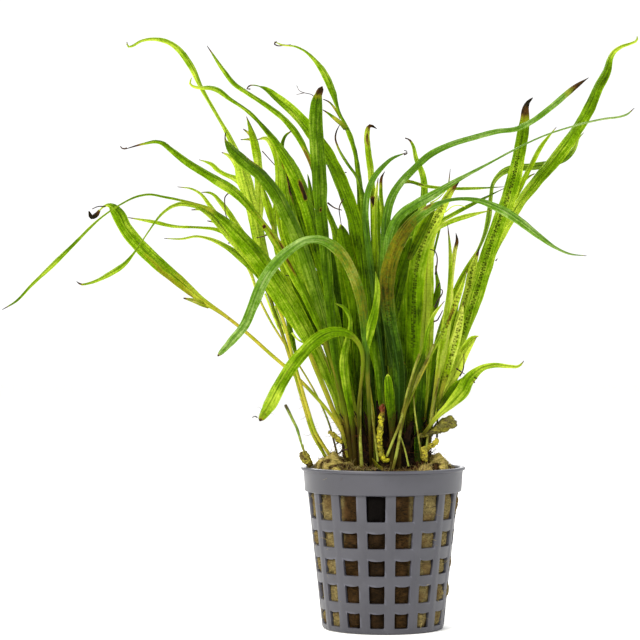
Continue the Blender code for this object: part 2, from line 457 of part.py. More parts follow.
class Course:
    """A leaf's dense midrib: its front reading, depth and width along the length."""

    def __init__(self, leaf):
        curve = smooth_route(leaf.route)
        self.leaf = leaf
        self.across = curve[:, 0]
        self.level = curve[:, 1]
        self.seen = np.maximum(curve[:, 2], THINNEST)
        flat = arc_lengths(curve[:, :2])
        share = flat / flat[-1]
        self.depth = leaf.near + (leaf.far - leaf.near) * share ** DEPTH_BEND
        self.turn = np.radians(leaf.turn) * (ROOT_TURN_SHARE + (1.0 - ROOT_TURN_SHARE) * share)
        self.station_at = np.arange(0.0, flat[-1] + 0.5 * STATION_PITCH, STATION_PITCH)
        self.flat = flat
        self.eased = np.zeros(len(self.station_at))
        self.up = self.level
        self.seat()

    def seat(self):
        """Raise or lower the root end to stand on the root mass or the rockwool."""
        if self.level[0] < SEATED_BELOW:
            root = placed(self.across[0], self.level[0], self.depths()[0])
            shift = seat_height(root[0], root[1]) + SEAT_GAP - root[2]
            self.up = self.level + shift * np.clip(1.0 - self.flat / SEAT_BLEND, 0.0, 1.0)

    def depths(self):
        """Return the depth of each dense sample, with the easing added."""
        return self.depth + np.interp(self.flat, self.station_at, self.eased)

    def frame(self):
        """Return the midrib, its side vectors and the real widths, in mm."""
        rib = placed(self.across, self.up, self.depths())
        tangent = np.gradient(rib, axis=0)
        tangent /= np.linalg.norm(tangent, axis=1)[:, None]
        plain = np.cross((0.0, 1.0, 0.0), tangent)
        plain /= np.linalg.norm(plain, axis=1)[:, None]
        turn = self.turn[:, None]
        side = plain * np.cos(turn) + np.cross(tangent, plain) * np.sin(turn)
        width = self.seen / np.cos(self.turn)
        return rib, tangent, side, width

    def station_samples(self):
        """Return (station number, point) arrays that cover the blade for the clearance test."""
        rib, _, side, width = self.frame()
        pick = np.clip(np.searchsorted(self.flat, self.station_at), 0, len(self.flat) - 1)
        numbers = [np.arange(len(pick))]
        points = [rib[pick]]
        for share, least in CLEARED_ROWS:
            wide = width[pick] > least
            numbers.append(np.arange(len(pick))[wide])
            points.append((rib[pick] + side[pick] * (share * width[pick])[:, None])[wide])
        return np.concatenate(numbers), np.vstack(points)


def gather(courses, obstacles):
    """Return the owner, station and place of every clearance sample."""
    owners = []
    numbers = []
    points = []
    for index, course in enumerate(courses):
        station, place = course.station_samples()
        owners.append(np.full(len(place), index))
        numbers.append(station)
        points.append(place)
    owners.append(np.full(len(obstacles), -1))
    numbers.append(np.zeros(len(obstacles), dtype=int))
    points.append(obstacles)
    return np.concatenate(owners), np.concatenate(numbers), np.vstack(points)


def near_pairs(points, owners, reach):
    """Yield (a, b) index pairs of different owners that lie within reach of each other."""
    tree = kdtree.KDTree(len(points))
    for index, point in enumerate(points):
        tree.insert(point, index)
    tree.balance()
    for a, point in enumerate(points):
        for _, b, _ in tree.find_range(point, reach):
            if b > a and owners[a] != owners[b]:
                yield a, b


def layer_order(courses, obstacles):
    """Return, for each pair that overlaps in the front view, which one lies farther back."""
    owners, _, points = gather(courses, obstacles)
    flat = points.copy()
    flat[:, 1] = 0.0
    tally = {}
    for a, b in near_pairs(flat, owners, CLEARANCE):
        if owners[a] > owners[b]:
            a, b = b, a
        key = (int(owners[a]), int(owners[b]))
        gap = float(points[b][1] - points[a][1])
        tally[key] = tally.get(key, 0.0) + max(-GAP_COUNTED, min(GAP_COUNTED, gap))
    return {key: 1.0 if total >= 0.0 else -1.0 for key, total in tally.items()}


def ease_apart(courses, obstacles):
    """Move leaves that would touch nearer or farther along the sight lines until they are clear."""
    order = layer_order(courses, obstacles)
    for _ in range(EASE_ROUNDS):
        owners, numbers, points = gather(courses, obstacles)
        pushes = [np.zeros((2, len(course.eased))) for course in courses]
        clashes = 0
        for a, b in near_pairs(points, owners, CLEARANCE):
            if owners[a] > owners[b]:
                a, b = b, a
            first, second = int(owners[a]), int(owners[b])
            sign = order.get((first, second), 1.0)
            apart = points[b] - points[a]
            lateral = apart[0] ** 2 + apart[2] ** 2
            need = math.sqrt(max(CLEARANCE ** 2 - lateral, 0.0)) - sign * apart[1]
            if need <= EASE_TOLERANCE:
                continue
            clashes += 1
            share = 1.0 if first < 0 else 0.5
            back = pushes[second][1 if sign > 0 else 0]
            back[numbers[b]] = max(back[numbers[b]], share * need)
            if first >= 0:
                front = pushes[first][0 if sign > 0 else 1]
                front[numbers[a]] = max(front[numbers[a]], share * need)
        if clashes == 0:
            break
        for course, push in zip(courses, pushes):
            gaps = course.station_at[:, None] - course.station_at[None, :]
            kernel = np.exp(-0.5 * (gaps / EASE_SPREAD) ** 2)
            forward = (kernel * push[0][None, :]).max(axis=1)
            backward = (kernel * push[1][None, :]).max(axis=1)
            course.eased += EASE_STEP * (backward - forward)


def ring_picks(rib, lengths):
    """Return the dense samples that carry a ring: closer together where the midrib bends."""
    tangent = np.diff(rib, axis=0)
    tangent /= np.linalg.norm(tangent, axis=1)[:, None]
    bend = np.arccos(np.clip((tangent[1:] * tangent[:-1]).sum(axis=1), -1.0, 1.0))
    cost = lengths / RING_PITCH + np.concatenate([[0.0], np.cumsum(bend), [bend.sum()]]) / RING_TURN
    count = max(FEWEST_RINGS, int(round(cost[-1])))
    wanted = np.linspace(0.0, cost[-1], count + 1)
    picks = np.searchsorted(cost, wanted[:-1])
    return np.unique(np.concatenate([picks, [len(rib) - 1]]))


def material(name, colour, roughness):
    """Return a plain Principled material."""
    made = bpy.data.materials.new(name)
    made.use_nodes = True
    shader = made.node_tree.nodes["Principled BSDF"]
    shader.inputs["Base Color"].default_value = (*colour, 1.0)
    shader.inputs["Roughness"].default_value = roughness
    shader.inputs["Metallic"].default_value = 0.0
    return made


def add_object(name, mesh, collection, colour, roughness):
    """Put a mesh in the collection as a named object with its own material."""
    item = bpy.data.objects.new(name, mesh)
    collection.objects.link(item)
    mesh.materials.clear()
    mesh.materials.append(material(name, colour, roughness))
    return item


def leaf_object(course, collection):
    """Loft one leaf: rings of left edge, front midrib, right edge and back midrib."""
    rib, tangent, side, width = course.frame()
    picks = ring_picks(rib, arc_lengths(rib))
    cage = bmesh.new()
    rings = []
    for k in picks[:-1]:
        blade = min(1.0, max(0.0, (width[k] - STALK_WIDTH) / (BLADE_WIDTH - STALK_WIDTH)))
        thick = min(STALK_THICK + blade * (BLADE_THICK - STALK_THICK), width[k])
        out = np.cross(side[k], tangent[k])
        corners = (
            rib[k] - side[k] * 0.5 * width[k],
            rib[k] + out * 0.5 * thick,
            rib[k] + side[k] * 0.5 * width[k],
            rib[k] - out * 0.5 * thick,
        )
        rings.append([cage.verts.new(Vector(c) * MM) for c in corners])
    tip = cage.verts.new(Vector(rib[-1]) * MM)
    for lower, upper in zip(rings, rings[1:]):
        for k in range(4):
            cage.faces.new((lower[k], lower[k - 3], upper[k - 3], upper[k]))
    for k in range(4):
        cage.faces.new((rings[-1][k], rings[-1][k - 3], tip))
    cage.faces.new(rings[0][::-1])
    bmesh.ops.recalc_face_normals(cage, faces=cage.faces)
    mesh = bpy.data.meshes.new(course.leaf.name)
    cage.to_mesh(mesh)
    cage.free()
    mesh.shade_smooth()
    return add_object(course.leaf.name, mesh, collection, course.leaf.colour, LEAF_ROUGHNESS)


def turned(name, profile, facets, collection, colour, roughness):
    """Turn a profile of (radius, height) in mm about +Z; it runs down its outer side."""
    mesh = bpy.data.meshes.new(name)
    points = [(radius * MM, 0.0, height * MM) for radius, height in profile]
    mesh.from_pydata(points, [(k, k + 1) for k in range(len(points) - 1)], [])
    item = add_object(name, mesh, collection, colour, roughness)
    screw = item.modifiers.new("turn", "SCREW")
    screw.axis = "Z"
    screw.steps = facets
    screw.render_steps = facets
    screw.use_merge_vertices = True
    screw.merge_threshold = MERGE_REACH * MM
    screw.use_normal_calculate = True
    return item


def settled(item):
    """Replace an object by the plain mesh that its modifiers make, and return it."""
    graph = bpy.context.evaluated_depsgraph_get()
    mesh = bpy.data.meshes.new_from_object(item.evaluated_get(graph))
    item.modifiers.clear()
    item.data = mesh
    return item


def wall_radius(height):
    """Return the outer radius of the windowed wall at a height, in mm."""
    share = height / COLLAR_FOOT
    return WALL_FOOT_RADIUS + (WALL_TOP_RADIUS - WALL_FOOT_RADIUS) * share


def pot_profile():
    """Return the net pot's section, from the middle of the floor up, over the lip and down."""
    inner_top = COLLAR_TOP_RADIUS - WALL
    return (
        (0.0, FLOOR),
        (wall_radius(FLOOR) - WALL, FLOOR),
        (wall_radius(COLLAR_FOOT) - WALL, COLLAR_FOOT + LEDGE_FOOT),
        (COLLAR_FOOT_RADIUS - WALL, COLLAR_FOOT + LEDGE_TOP),
        (inner_top, POT_HEIGHT - LIP_THICK),
        (inner_top + LIP_EASE, POT_HEIGHT),
        (LIP_RADIUS, POT_HEIGHT),
        (LIP_RADIUS, POT_HEIGHT - LIP_THICK),
        (COLLAR_TOP_RADIUS, POT_HEIGHT - LIP_THICK - LIP_EASE),
        (COLLAR_FOOT_RADIUS, COLLAR_FOOT),
        (wall_radius(COLLAR_FOOT), COLLAR_FOOT),
        (wall_radius(FOOT_ROUNDING), FOOT_ROUNDING),
        (wall_radius(FOOT_CHAMFER) - FOOT_CHAMFER, FOOT_CHAMFER),
        (wall_radius(0.0) - FOOT_ROUNDING, 0.0),
        (0.0, 0.0),
    )


def window_cutters(collection):
    """Return one object made of a wedge-shaped block for each window and a block for each slot."""
    cage = bmesh.new()
    for column in range(WINDOW_COLUMNS):
        angle = math.radians(FIRST_WINDOW_ANGLE + column * 360.0 / WINDOW_COLUMNS - 90.0)
        along = Vector((math.cos(angle), math.sin(angle), 0.0))
        across = Vector((-math.sin(angle), math.cos(angle), 0.0))
        for bottom, top in WINDOW_ROWS:
            block = bmesh.ops.create_cube(cage, size=1.0)["verts"]
            for vert in block:
                height = bottom if vert.co.z < 0 else top
                radius = wall_radius(height)
                half = radius * math.pi / WINDOW_COLUMNS - 0.5 * BAR_WIDTH
                reach = radius + (CUT_MARGIN if vert.co.x > 0 else -WALL - CUT_MARGIN)
                side = half if vert.co.y > 0 else -half
                vert.co = (along * reach + across * side + Vector((0, 0, height))) * MM
    for number in range(SLOT_COUNT):
        angle = math.radians(FIRST_WINDOW_ANGLE + number * 360.0 / SLOT_COUNT - 90.0)
        along = Vector((math.cos(angle), math.sin(angle), 0.0))
        across = Vector((-math.sin(angle), math.cos(angle), 0.0))
        block = bmesh.ops.create_cube(cage, size=1.0)["verts"]
        for vert in block:
            reach = SLOT_OUTER if vert.co.x > 0 else SLOT_INNER
            side = math.copysign(0.5 * SLOT_WIDTH, vert.co.y)
            height = -CUT_MARGIN if vert.co.z < 0 else FLOOR + CUT_MARGIN
            vert.co = (along * reach + across * side + Vector((0, 0, height))) * MM
    mesh = bpy.data.meshes.new("pot_cutters")
    cage.to_mesh(mesh)
    cage.free()
    cutter = bpy.data.objects.new("pot_cutters", mesh)
    cutter.hide_render = True
    cutter.display_type = "WIRE"
    collection.objects.link(cutter)
    return cutter


def net_pot(parts, cutters):
    """Make the pot: a turned shell with its windows and floor slots cut through."""
    pot = turned("net_pot", pot_profile(), POT_FACETS, parts, GREY_PLASTIC, PLASTIC_ROUGHNESS)
    pot.rotation_euler.z = math.radians(FIRST_WINDOW_ANGLE)
    cut = pot.modifiers.new("windows", "BOOLEAN")
    cut.operation = "DIFFERENCE"
    cut.solver = "EXACT"
    cut.object = window_cutters(cutters)
    return pot


def rockwool(parts):
    """Make the rockwool plug: turned to the pot's inside, with an uneven top."""
    inside = WALL + WOOL_SIDE_GAP
    rim = wall_radius(COLLAR_FOOT) - inside
    profile = [(0.0, WOOL_TOP)]
    profile += [(rim * share, WOOL_TOP) for share in WOOL_RINGS]
    profile += [(rim, WOOL_TOP - WOOL_EDGE_DROP), (rim, COLLAR_FOOT)]
    profile += [(wall_radius(WOOL_FOOT) - inside, WOOL_FOOT)]
    profile += [(0.0, WOOL_FOOT)]
    plug = settled(turned("rockwool_plug", profile, WOOL_FACETS, parts, WOOL, WOOL_ROUGHNESS))
    for vert in plug.data.vertices:
        if vert.co.z > (WOOL_TOP - 0.5 * WOOL_EDGE_DROP) * MM:
            vert.co.z = wool_top(vert.co.x / MM, vert.co.y / MM) * MM
    return plug


def root_mass(parts):
    """Make the dark mass of old leaf bases, rhizome and roots on the rockwool."""
    cage = bmesh.new()
    bmesh.ops.create_icosphere(cage, subdivisions=3, radius=1.0)
    for vert in cage.verts:
        x, y, z = vert.co
        bumps = [turns * v + start for turns, v, start in zip(MASS_WAVE_TURNS, (x, y), MASS_WAVE_STARTS)]
        wave = 1.0 - MASS_WAVE * (1.0 + math.sin(bumps[0]) * math.cos(bumps[1]))
        point = [c + r * wave * v for c, r, v in zip(MASS_CENTRE, MASS_RADII, (x, y, z))]
        floor = wool_top(point[0], point[1]) + MASS_LIFT
        point[2] = max(point[2], floor + MASS_FOOT_SLOPE * (z + 1.0))
        vert.co = Vector(point) * MM
    mesh = bpy.data.meshes.new("root_mass")
    cage.to_mesh(mesh)
    cage.free()
    mesh.shade_smooth()
    return add_object("root_mass", mesh, parts, ROOT_BROWN, ROOT_ROUGHNESS)


def tube(name, route, colour, parts):
    """Make a rhizome piece: a round body through (across, up, depth, radius) points, flat-ended."""
    points = smooth_route(route, TUBE_STEPS)
    curve = bpy.data.curves.new(name, "CURVE")
    curve.dimensions = "3D"
    curve.bevel_depth = MM
    curve.bevel_resolution = 2
    curve.use_fill_caps = True
    spline = curve.splines.new("POLY")
    spline.points.add(len(points) - 1)
    for slot, (across, up, depth, radius) in zip(spline.points, points):
        slot.co = (*(placed(across, up, depth) * MM), 1.0)
        slot.radius = radius
    item = bpy.data.objects.new(name, curve)
    parts.objects.link(item)
    curve.materials.append(material(name, colour, RHIZOME_ROUGHNESS))
    return item


RHIZOMES = (
    ("rhizome_centre", RHIZOME_YELLOW, (
        (1.8, 54.7, -13.6, 0.7), (0.5, 55.2, -13.8, 0.85), (-0.8, 57.2, -13.8, 0.9),
        (-1.2, 61, -13.8, 0.9), (-1, 65, -13.8, 0.85), (-0.5, 69, -13.6, 0.85),
        (-0.3, 71.5, -13.5, 0.75), (-0.2, 73.6, -13.5, 0.5))),
    ("rhizome_cut", RHIZOME_GREY, (
        (11.2, 62.6, -9, 1.1), (13.6, 63.4, -9, 1.15), (16, 64.2, -9, 1.2), (18, 65.2, -9, 1.5),
        (20, 66.5, -9, 1.8), (23, 68.2, -9, 1.8))),
    ("rhizome_side", RHIZOME_YELLOW, (
        (14.3, 58.6, -9, 0.7), (16, 59.8, -9, 0.9), (17.4, 60.9, -9, 0.9), (17.7, 62.3, -9, 0.5))),
    ("rhizome_knob", RHIZOME_YELLOW, (
        (13.7, 54.9, -13, 0.75), (13.6, 57, -13, 0.9), (13.1, 59.4, -13, 0.85))),
    ("rhizome_left", RHIZOME_YELLOW, (
        (-23.8, 53, -4, 0.8), (-24.7, 54.6, -4, 1.25), (-25.6, 56.2, -4, 1.35),
        (-26.2, 57.8, -4, 1.1))),
    ("stalk_left", OLIVE, (
        (-26.3, 58.4, -4, 0.3), (-27.3, 62, -4, 0.35), (-28.3, 65.5, -4.4, 0.4),
        (-29.8, 68.5, -5, 0.4), (-31, 71, -5.6, 0.45), (-32.2, 73.3, -6, 0.5))),
    ("bud_left", RHIZOME_YELLOW, (
        (-13.3, 60.8, -9, 0.55), (-15.2, 62.2, -9, 0.75), (-16.5, 63.7, -9, 0.7),
        (-18, 64.2, -9, 0.5))),
)


def obstacle_points():
    """Return points inside the rhizome pieces, which the leaves keep clear of."""
    rows = []
    for _, _, route in RHIZOMES:
        across, up, depth, radius = smooth_route(route, OBSTACLE_STEPS).T
        middle = np.array([placed(a, u, d) for a, u, d in zip(across, up, depth)])
        for dx, dy in ((0, 0), (1, 0), (-1, 0), (0, 1), (0, -1)):
            rows.append(middle + np.array((dx, dy, 0.0)) * OBSTACLE_SHARE * radius[:, None])
    return np.vstack(rows)


def main():
    """Build the whole plant in its pot."""
    for item in list(bpy.data.objects):
        bpy.data.objects.remove(item, do_unlink=True)
    parts = bpy.data.collections.new("potted_java_fern")
    cutters = bpy.data.collections.new("cutters")
    bpy.context.scene.collection.children.link(parts)
    bpy.context.scene.collection.children.link(cutters)
    net_pot(parts, cutters)
    rockwool(parts)
    root_mass(parts)
    for name, colour, route in RHIZOMES:
        tube(name, route, colour, parts)
    courses = [Course(leaf) for leaf in LEAVES]
    ease_apart(courses, obstacle_points())
    for course in courses:
        course.seat()
        leaf_object(course, parts)


main()
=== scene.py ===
"""Potted narrow-leaf java fern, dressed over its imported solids.

The leaves, rhizomes, rockwool and net pot are rebuilt finely where their solids lie. The small
things that the solids leave out, such as lobes, threads, fibres and moss, are added here. Sizes
are in millimetres unless a name says otherwise, and the photograph's viewer stands at -Y.
"""

import json
import logging
import math
from dataclasses import dataclass, field
from enum import Enum
from functools import partial
from typing import Any, Callable, Iterable, Sequence

import bmesh
import bpy
import numpy as np
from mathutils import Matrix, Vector, noise

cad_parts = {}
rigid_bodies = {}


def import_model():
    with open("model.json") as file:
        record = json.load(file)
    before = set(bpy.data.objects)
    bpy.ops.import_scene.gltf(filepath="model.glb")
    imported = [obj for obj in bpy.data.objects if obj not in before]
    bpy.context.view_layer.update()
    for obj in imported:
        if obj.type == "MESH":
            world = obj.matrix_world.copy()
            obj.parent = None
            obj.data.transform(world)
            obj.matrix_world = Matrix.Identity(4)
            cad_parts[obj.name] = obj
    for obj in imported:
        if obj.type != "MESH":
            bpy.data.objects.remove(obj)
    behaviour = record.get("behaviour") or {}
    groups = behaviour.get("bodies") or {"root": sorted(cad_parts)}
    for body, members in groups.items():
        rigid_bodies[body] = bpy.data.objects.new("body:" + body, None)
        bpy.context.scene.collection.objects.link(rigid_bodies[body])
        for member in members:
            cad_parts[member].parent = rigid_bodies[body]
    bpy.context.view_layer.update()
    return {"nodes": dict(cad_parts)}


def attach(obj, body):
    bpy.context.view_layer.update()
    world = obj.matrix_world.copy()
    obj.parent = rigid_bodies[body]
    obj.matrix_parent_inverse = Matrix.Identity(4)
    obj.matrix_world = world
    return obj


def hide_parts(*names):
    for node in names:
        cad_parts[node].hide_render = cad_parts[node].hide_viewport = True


LOG = logging.getLogger("java_fern")
MM = 0.001
BODY = "root"

# Where the photograph was taken from, in mm, and the width it shows at the pot's axis
EYE = (-20.74, -800.0, 101.1)
SEEN_WIDTH = 210.4

# Turn from one old leaf base to the next, in radians
GOLDEN_ANGLE = 2.399963

# Node types and settings that come up often
MATH, RANGE, MIX, NOISE = "ShaderNodeMath", "ShaderNodeMapRange", "ShaderNodeMix", "ShaderNodeTexNoise"
VECTOR, SKIN, BUMP = "ShaderNodeCombineXYZ", "ShaderNodeBsdfPrincipled", "ShaderNodeBump"
TIMES: dict[str, Any] = {"operation": "MULTIPLY"}
TIMES_PLUS: dict[str, Any] = {"operation": "MULTIPLY_ADD"}
SMOOTH: dict[str, Any] = {"interpolation_type": "SMOOTHSTEP"}
COLOURS: dict[str, Any] = {"data_type": "RGBA"}


def linear(hex_colour: str) -> tuple[float, float, float, float]:
    """Turn an sRGB hex colour into linear values.

    Args:
        hex_colour: such as "#6E6F75".

    Returns:
        Red, green, blue, and 1 for alpha.
    """
    channels = [int(hex_colour[k:k + 2], 16) / 255.0 for k in (1, 3, 5)]
    red, green, blue = (c / 12.92 if c <= 0.04045 else ((c + 0.055) / 1.055) ** 2.4 for c in channels)
    return red, green, blue, 1.0


def add_node(tree: bpy.types.NodeTree, kind: str, inputs: dict[Any, Any] | None = None, **settings: Any) -> Any:
    """Add a node, give it its settings, and fill or link its inputs.

    Args:
        tree: the shader or geometry tree.
        kind: the node's type name.
        inputs: socket name or number to a value, a hex colour, an output socket, or a node, which
            stands for its first live output.
        **settings: the node's own properties.

    Returns:
        The node.
    """
    node = tree.nodes.new(kind)
    for key, value in settings.items():
        setattr(node, key, value)
    for key, value in (inputs or {}).items():
        if isinstance(value, bpy.types.Node):
            value = next(socket for socket in value.outputs if socket.enabled)
        if isinstance(value, bpy.types.NodeSocket):
            tree.links.new(value, node.inputs[key])
        else:
            is_colour = isinstance(value, str) and value.startswith("#")
            node.inputs[key].default_value = linear(value) if is_colour else value
    return node


def new_material(name: str) -> tuple[bpy.types.Material, Callable[..., Any], bpy.types.NodeSocket]:
    """Start a node material.

    Args:
        name: the finish's name.

    Returns:
        The material, what adds a node to it, and the place on the object, which its patterns read.
    """
    made = bpy.data.materials.new(name)
    made.use_nodes = True
    made.node_tree.nodes.clear()
    add = partial(add_node, made.node_tree)
    return made, add, add("ShaderNodeTexCoord").outputs["Object"]


def per_mm(size: float) -> float:
    """Return the texture scale, in features to the metre, of a feature that is size mm across."""
    return 1.0 / (size * MM)


class LeafKind(Enum):
    """The ways a leaf's tissue looks, by how old it is and by the light and shade painted on it."""

    GREEN = "leaf_green"
    PALE = "leaf_pale"
    DARK = "leaf_dark"
    BLUE_GREEN = "leaf_blue_green"
    OLIVE = "leaf_olive"


@dataclass(frozen=True)
class LeafTissue:
    """Living fern leaf: a thin waxy skin over green cells that let light from behind glow through.

    Attributes:
        kind: which sort of leaf, also the record's slot.
        deep: colour of the thick or shaded tissue.
        body: colour of most of it.
        bright: colour of the young or lit tissue.
        glow: colour of the light that comes through.
        glow_share: how much of the light comes through.
        rib: colour of the midrib.
        roughness: of the waxy skin.
    """

    kind: LeafKind
    deep: str
    body: str
    bright: str
    glow: str
    glow_share: float
    rib: str
    roughness: float

    def material(self) -> bpy.types.Material:
        """Build the tissue: colour by how old it is and by painted shade and light, net of veins, spore spots, brown
        dead ends and stalk.
        """
        made, add, place = new_material("living_" + self.kind.value)
        read = [add("ShaderNodeSeparateXYZ", {0: add("ShaderNodeAttribute", attribute_name=name).outputs["Vector"]})
                for name in ("leaf_place", "leaf_looks", "leaf_more")]
        across, rise, edge = read[0].outputs
        tone, wear, spores = read[1].outputs
        leafy, mottle, foot = read[2].outputs
        side = add(MATH, {0: across}, operation="ABSOLUTE")
        half = add(MATH, {0: across, 1: 0.0}, operation="GREATER_THAN")
        # Slow changes of 8 mm, flecks of 2.4 mm, a grain of 0.9 mm that hardly shows, and scales 0.9 mm long
        slow, flecks, grain, scales = (
            add(NOISE, {"Vector": place, "Scale": per_mm(size), "Detail": detail, "Roughness": rough})
            for size, detail, rough in ((8.0, 1.0, 0.5), (2.4, 3.0, 0.6), (0.9, 4.0, 0.75), (0.9, 3.0, 0.75)))
        # Painted shade and light: each half of the blade, either side of its fold, drifts lighter or darker on its own
        # over 14 mm. Streaks 0.5 mm wide run 9 mm along the leaf
        drift, streak = (
            add(NOISE, {"Vector": add(VECTOR, {0: add(MATH, {0: sideways, 1: dense}, **TIMES),
                                               1: add(MATH, {0: rise, 1: drawn}, **TIMES)}),
                        "Scale": 1.0, "Detail": detail, "Roughness": rough})
            for sideways, dense, drawn, detail, rough in ((half, 5.3, 0.07, 2.0, 0.5), (across, 2.0, 0.11, 4.0, 0.62)))
        # Painted shade and light: the leaf's tone is its own colour, darkened where it lies in shade and brightened
        # where it is lit; the noises add its own changes
        age = tone
        for pattern, strength in ((slow, 0.5), (drift, 0.6), (flecks, 0.4), (grain, 0.4), (streak, 1.3)):
            age = add(MATH, {0: pattern, 1: strength, 2: age}, **TIMES_PLUS)
        age = add(RANGE, {0: age, 1: 1.6, 2: 2.6})
        # Net of veins: cells 1.3 mm long, drawn out away from the midrib
        drawn = add(MATH, {0: across, 1: 0.55}, **TIMES)
        net = add("ShaderNodeTexVoronoi", {"Vector": add(VECTOR, {0: drawn, 1: rise}), "Scale": 0.75,
                  "Randomness": 0.85}, feature="DISTANCE_TO_EDGE", voronoi_dimensions="2D")
        # Spore cases: near-black dots about 0.5 mm wide and 1 mm apart, in an uneven row each side of the
        # midrib, with the rows out of step
        row = add(MATH, {0: flecks, 1: -0.8, 2: side}, **TIMES_PLUS)
        step = add(MATH, {0: half, 1: 31.4, 2: rise}, **TIMES_PLUS)
        dots = add("ShaderNodeTexVoronoi", {"W": step, "Scale": 1.05, "Randomness": 1.0}, feature="F1",
                   voronoi_dimensions="1D")
        gap = add("ShaderNodeVectorMath", {0: add(VECTOR, {0: row, 1: dots})}, operation="LENGTH").outputs["Value"]
        # Ageing: brown mottling 1.7 mm across, old scales at the stalk's foot, then dead brown and black tissue. The
        # foot's near-black scales are also painted shade, darker towards the bottom of the clump
        blotch = add(MATH, {0: streak, 1: 0.8, 2: grain}, **TIMES_PLUS)
        blotch = add(MATH, {0: mottle, 1: 0.42, 2: blotch}, **TIMES_PLUS)
        footed = add(MATH, {0: streak, 1: 0.8, 2: foot}, **TIMES_PLUS)
        ragged = add(MATH, {0: streak, 1: 0.7, 2: wear}, **TIMES_PLUS)
        # Each mask runs softly from the first level to the second, where it covers the third share. The midrib is a
        # darker crease, and the thin margin is painted in the glow colour, painted light as if it came through
        vein, margin, rib, scaly, patchy, ridge, dot, blotch, footed, yellowed, browned, blackened = (
            add(RANGE, {0: pattern, 1: low, 2: high, 4: most}, **SMOOTH) for pattern, low, high, most in (
                (net, 0.18, 0.02, 1.0), (edge, 0.8, 1.0, 0.5), (side, 0.34, 0.08, 0.55), (scales, 0.58, 0.68, 1.0),
                (slow, 0.4, 0.62, 1.0), (edge, 0.5, 0.95, 0.7), (gap, 0.42, 0.16, 1.0), (blotch, 1.0, 1.34, 0.85),
                (footed, 0.45, 0.95, 0.94), (ragged, 0.42, 0.62, 0.45), (ragged, 0.6, 0.95, 1.0),
                (ragged, 0.95, 1.35, 1.0)))
        kept = add(RANGE, {0: grain, 1: 0.32, 2: 0.5, 3: 0.1, 4: 1.0})
        youth = add(RANGE, {0: age, 3: 0.25})
        vein, margin, dot, blotch = (add(MATH, {0: pattern, 1: share}, **TIMES) for pattern, share in (
            (vein, leafy), (margin, leafy), (dot, kept), (blotch, mottle)))
        faint, margin, dot = (add(MATH, {0: pattern, 1: share}, **TIMES) for pattern, share in (
            (vein, 0.14), (margin, youth), (dot, spores)))
        # Petiole: yellow-green with brown scales and a brown ridge at each side, darker where it is shaded
        petiole: Any = "#AA9E34"
        shaded = add(RANGE, {0: tone, 1: 0.5, 2: 0.0, 4: 0.9})
        for mask, tint in ((scaly, "#5A3E12"), (patchy, "#7C8C1C"), (ridge, "#6E5214"), (shaded, "#2C3804")):
            petiole = add(MIX, {0: mask, 6: petiole, 7: tint}, **COLOURS)
        stalky = add(RANGE, {0: leafy, 1: 1.0, 2: 0.0, 4: 0.82})
        spotted = add(RANGE, {0: flecks, 1: 0.35, 2: 0.65})
        rusty, barky, tan = (add(MIX, {0: mask, 6: dark, 7: light}, **COLOURS) for mask, dark, light in (
            (age, "#241604", "#84760A"), (scaly, "#2A2006", "#0A0602"), (spotted, "#1E0F05", "#523410")))
        # The layers lie over one another in this order
        colour: Any = self.deep
        for mask, tint in ((add(RANGE, {0: age, 2: 0.5}), self.body), (add(RANGE, {0: age, 1: 0.5}), self.bright),
                           (faint, self.deep), (margin, self.glow), (rib, self.rib), (stalky, petiole),
                           (dot, "#160E03"), (blotch, rusty), (footed, barky), (yellowed, "#7E7410"),
                           (browned, tan), (blackened, "#0C0705")):
            colour = add(MIX, {0: mask, 6: colour, 7: tint}, **COLOURS)
        # Light comes through the living blade, less through its foot and its brown blotches
        alive = add(RANGE, {0: wear, 1: 0.5, 2: 0.1})
        height = add(MATH, {0: vein, 1: -0.7, 2: grain}, **TIMES_PLUS)
        height = add(MATH, {0: streak, 1: 3.0, 2: height}, **TIMES_PLUS)
        bump = add(BUMP, {"Strength": 0.6, "Distance": 0.2 * MM, "Height": height})
        sheen = add(RANGE, {0: grain, 3: self.roughness - 0.08, 4: self.roughness + 0.08})
        skin = add(SKIN, {"Base Color": colour, "Roughness": sheen, "IOR": 1.42,
                   "Specular IOR Level": 0.08, "Specular Tint": "#E4F0A0", "Normal": bump})
        lit = add(MATH, {0: add(MATH, {0: alive, 1: 0.7}, **TIMES), 1: age}, **TIMES)
        through = add(MIX, {0: lit, 6: colour, 7: self.glow}, **COLOURS)
        light = add("ShaderNodeBsdfTranslucent", {"Color": through, "Normal": bump})
        share = add(RANGE, {0: leafy, 3: 0.5 * self.glow_share, 4: self.glow_share})
        for less in (add(RANGE, {0: foot, 1: 0.7, 2: 0.1}), add(RANGE, {0: blotch, 3: 1.0, 4: 0.3}), alive):
            share = add(MATH, {0: share, 1: less}, **TIMES)
        both = add("ShaderNodeMixShader", {0: share, 1: skin, 2: light})
        add("ShaderNodeOutputMaterial", {"Surface": both})
        return made


TISSUES: dict[LeafKind, LeafTissue] = {row[0]: LeafTissue(*row) for row in (
    (LeafKind.GREEN, "#1C2E01", "#628802", "#BECE42", "#B8D21C", 0.36, "#2C4204", 0.42),
    (LeafKind.PALE, "#3E5A02", "#8AAA0C", "#D8DC6A", "#D2E240", 0.46, "#5E661A", 0.45),
    (LeafKind.DARK, "#142602", "#486A02", "#90A838", "#8EB416", 0.26, "#1A3004", 0.4),
    (LeafKind.BLUE_GREEN, "#1C3204", "#507816", "#A0B66C", "#90B048", 0.26, "#385620", 0.38),
    (LeafKind.OLIVE, "#4A5008", "#889A1E", "#C8C87A", "#BCC646", 0.36, "#5A3C12", 0.45),
)}


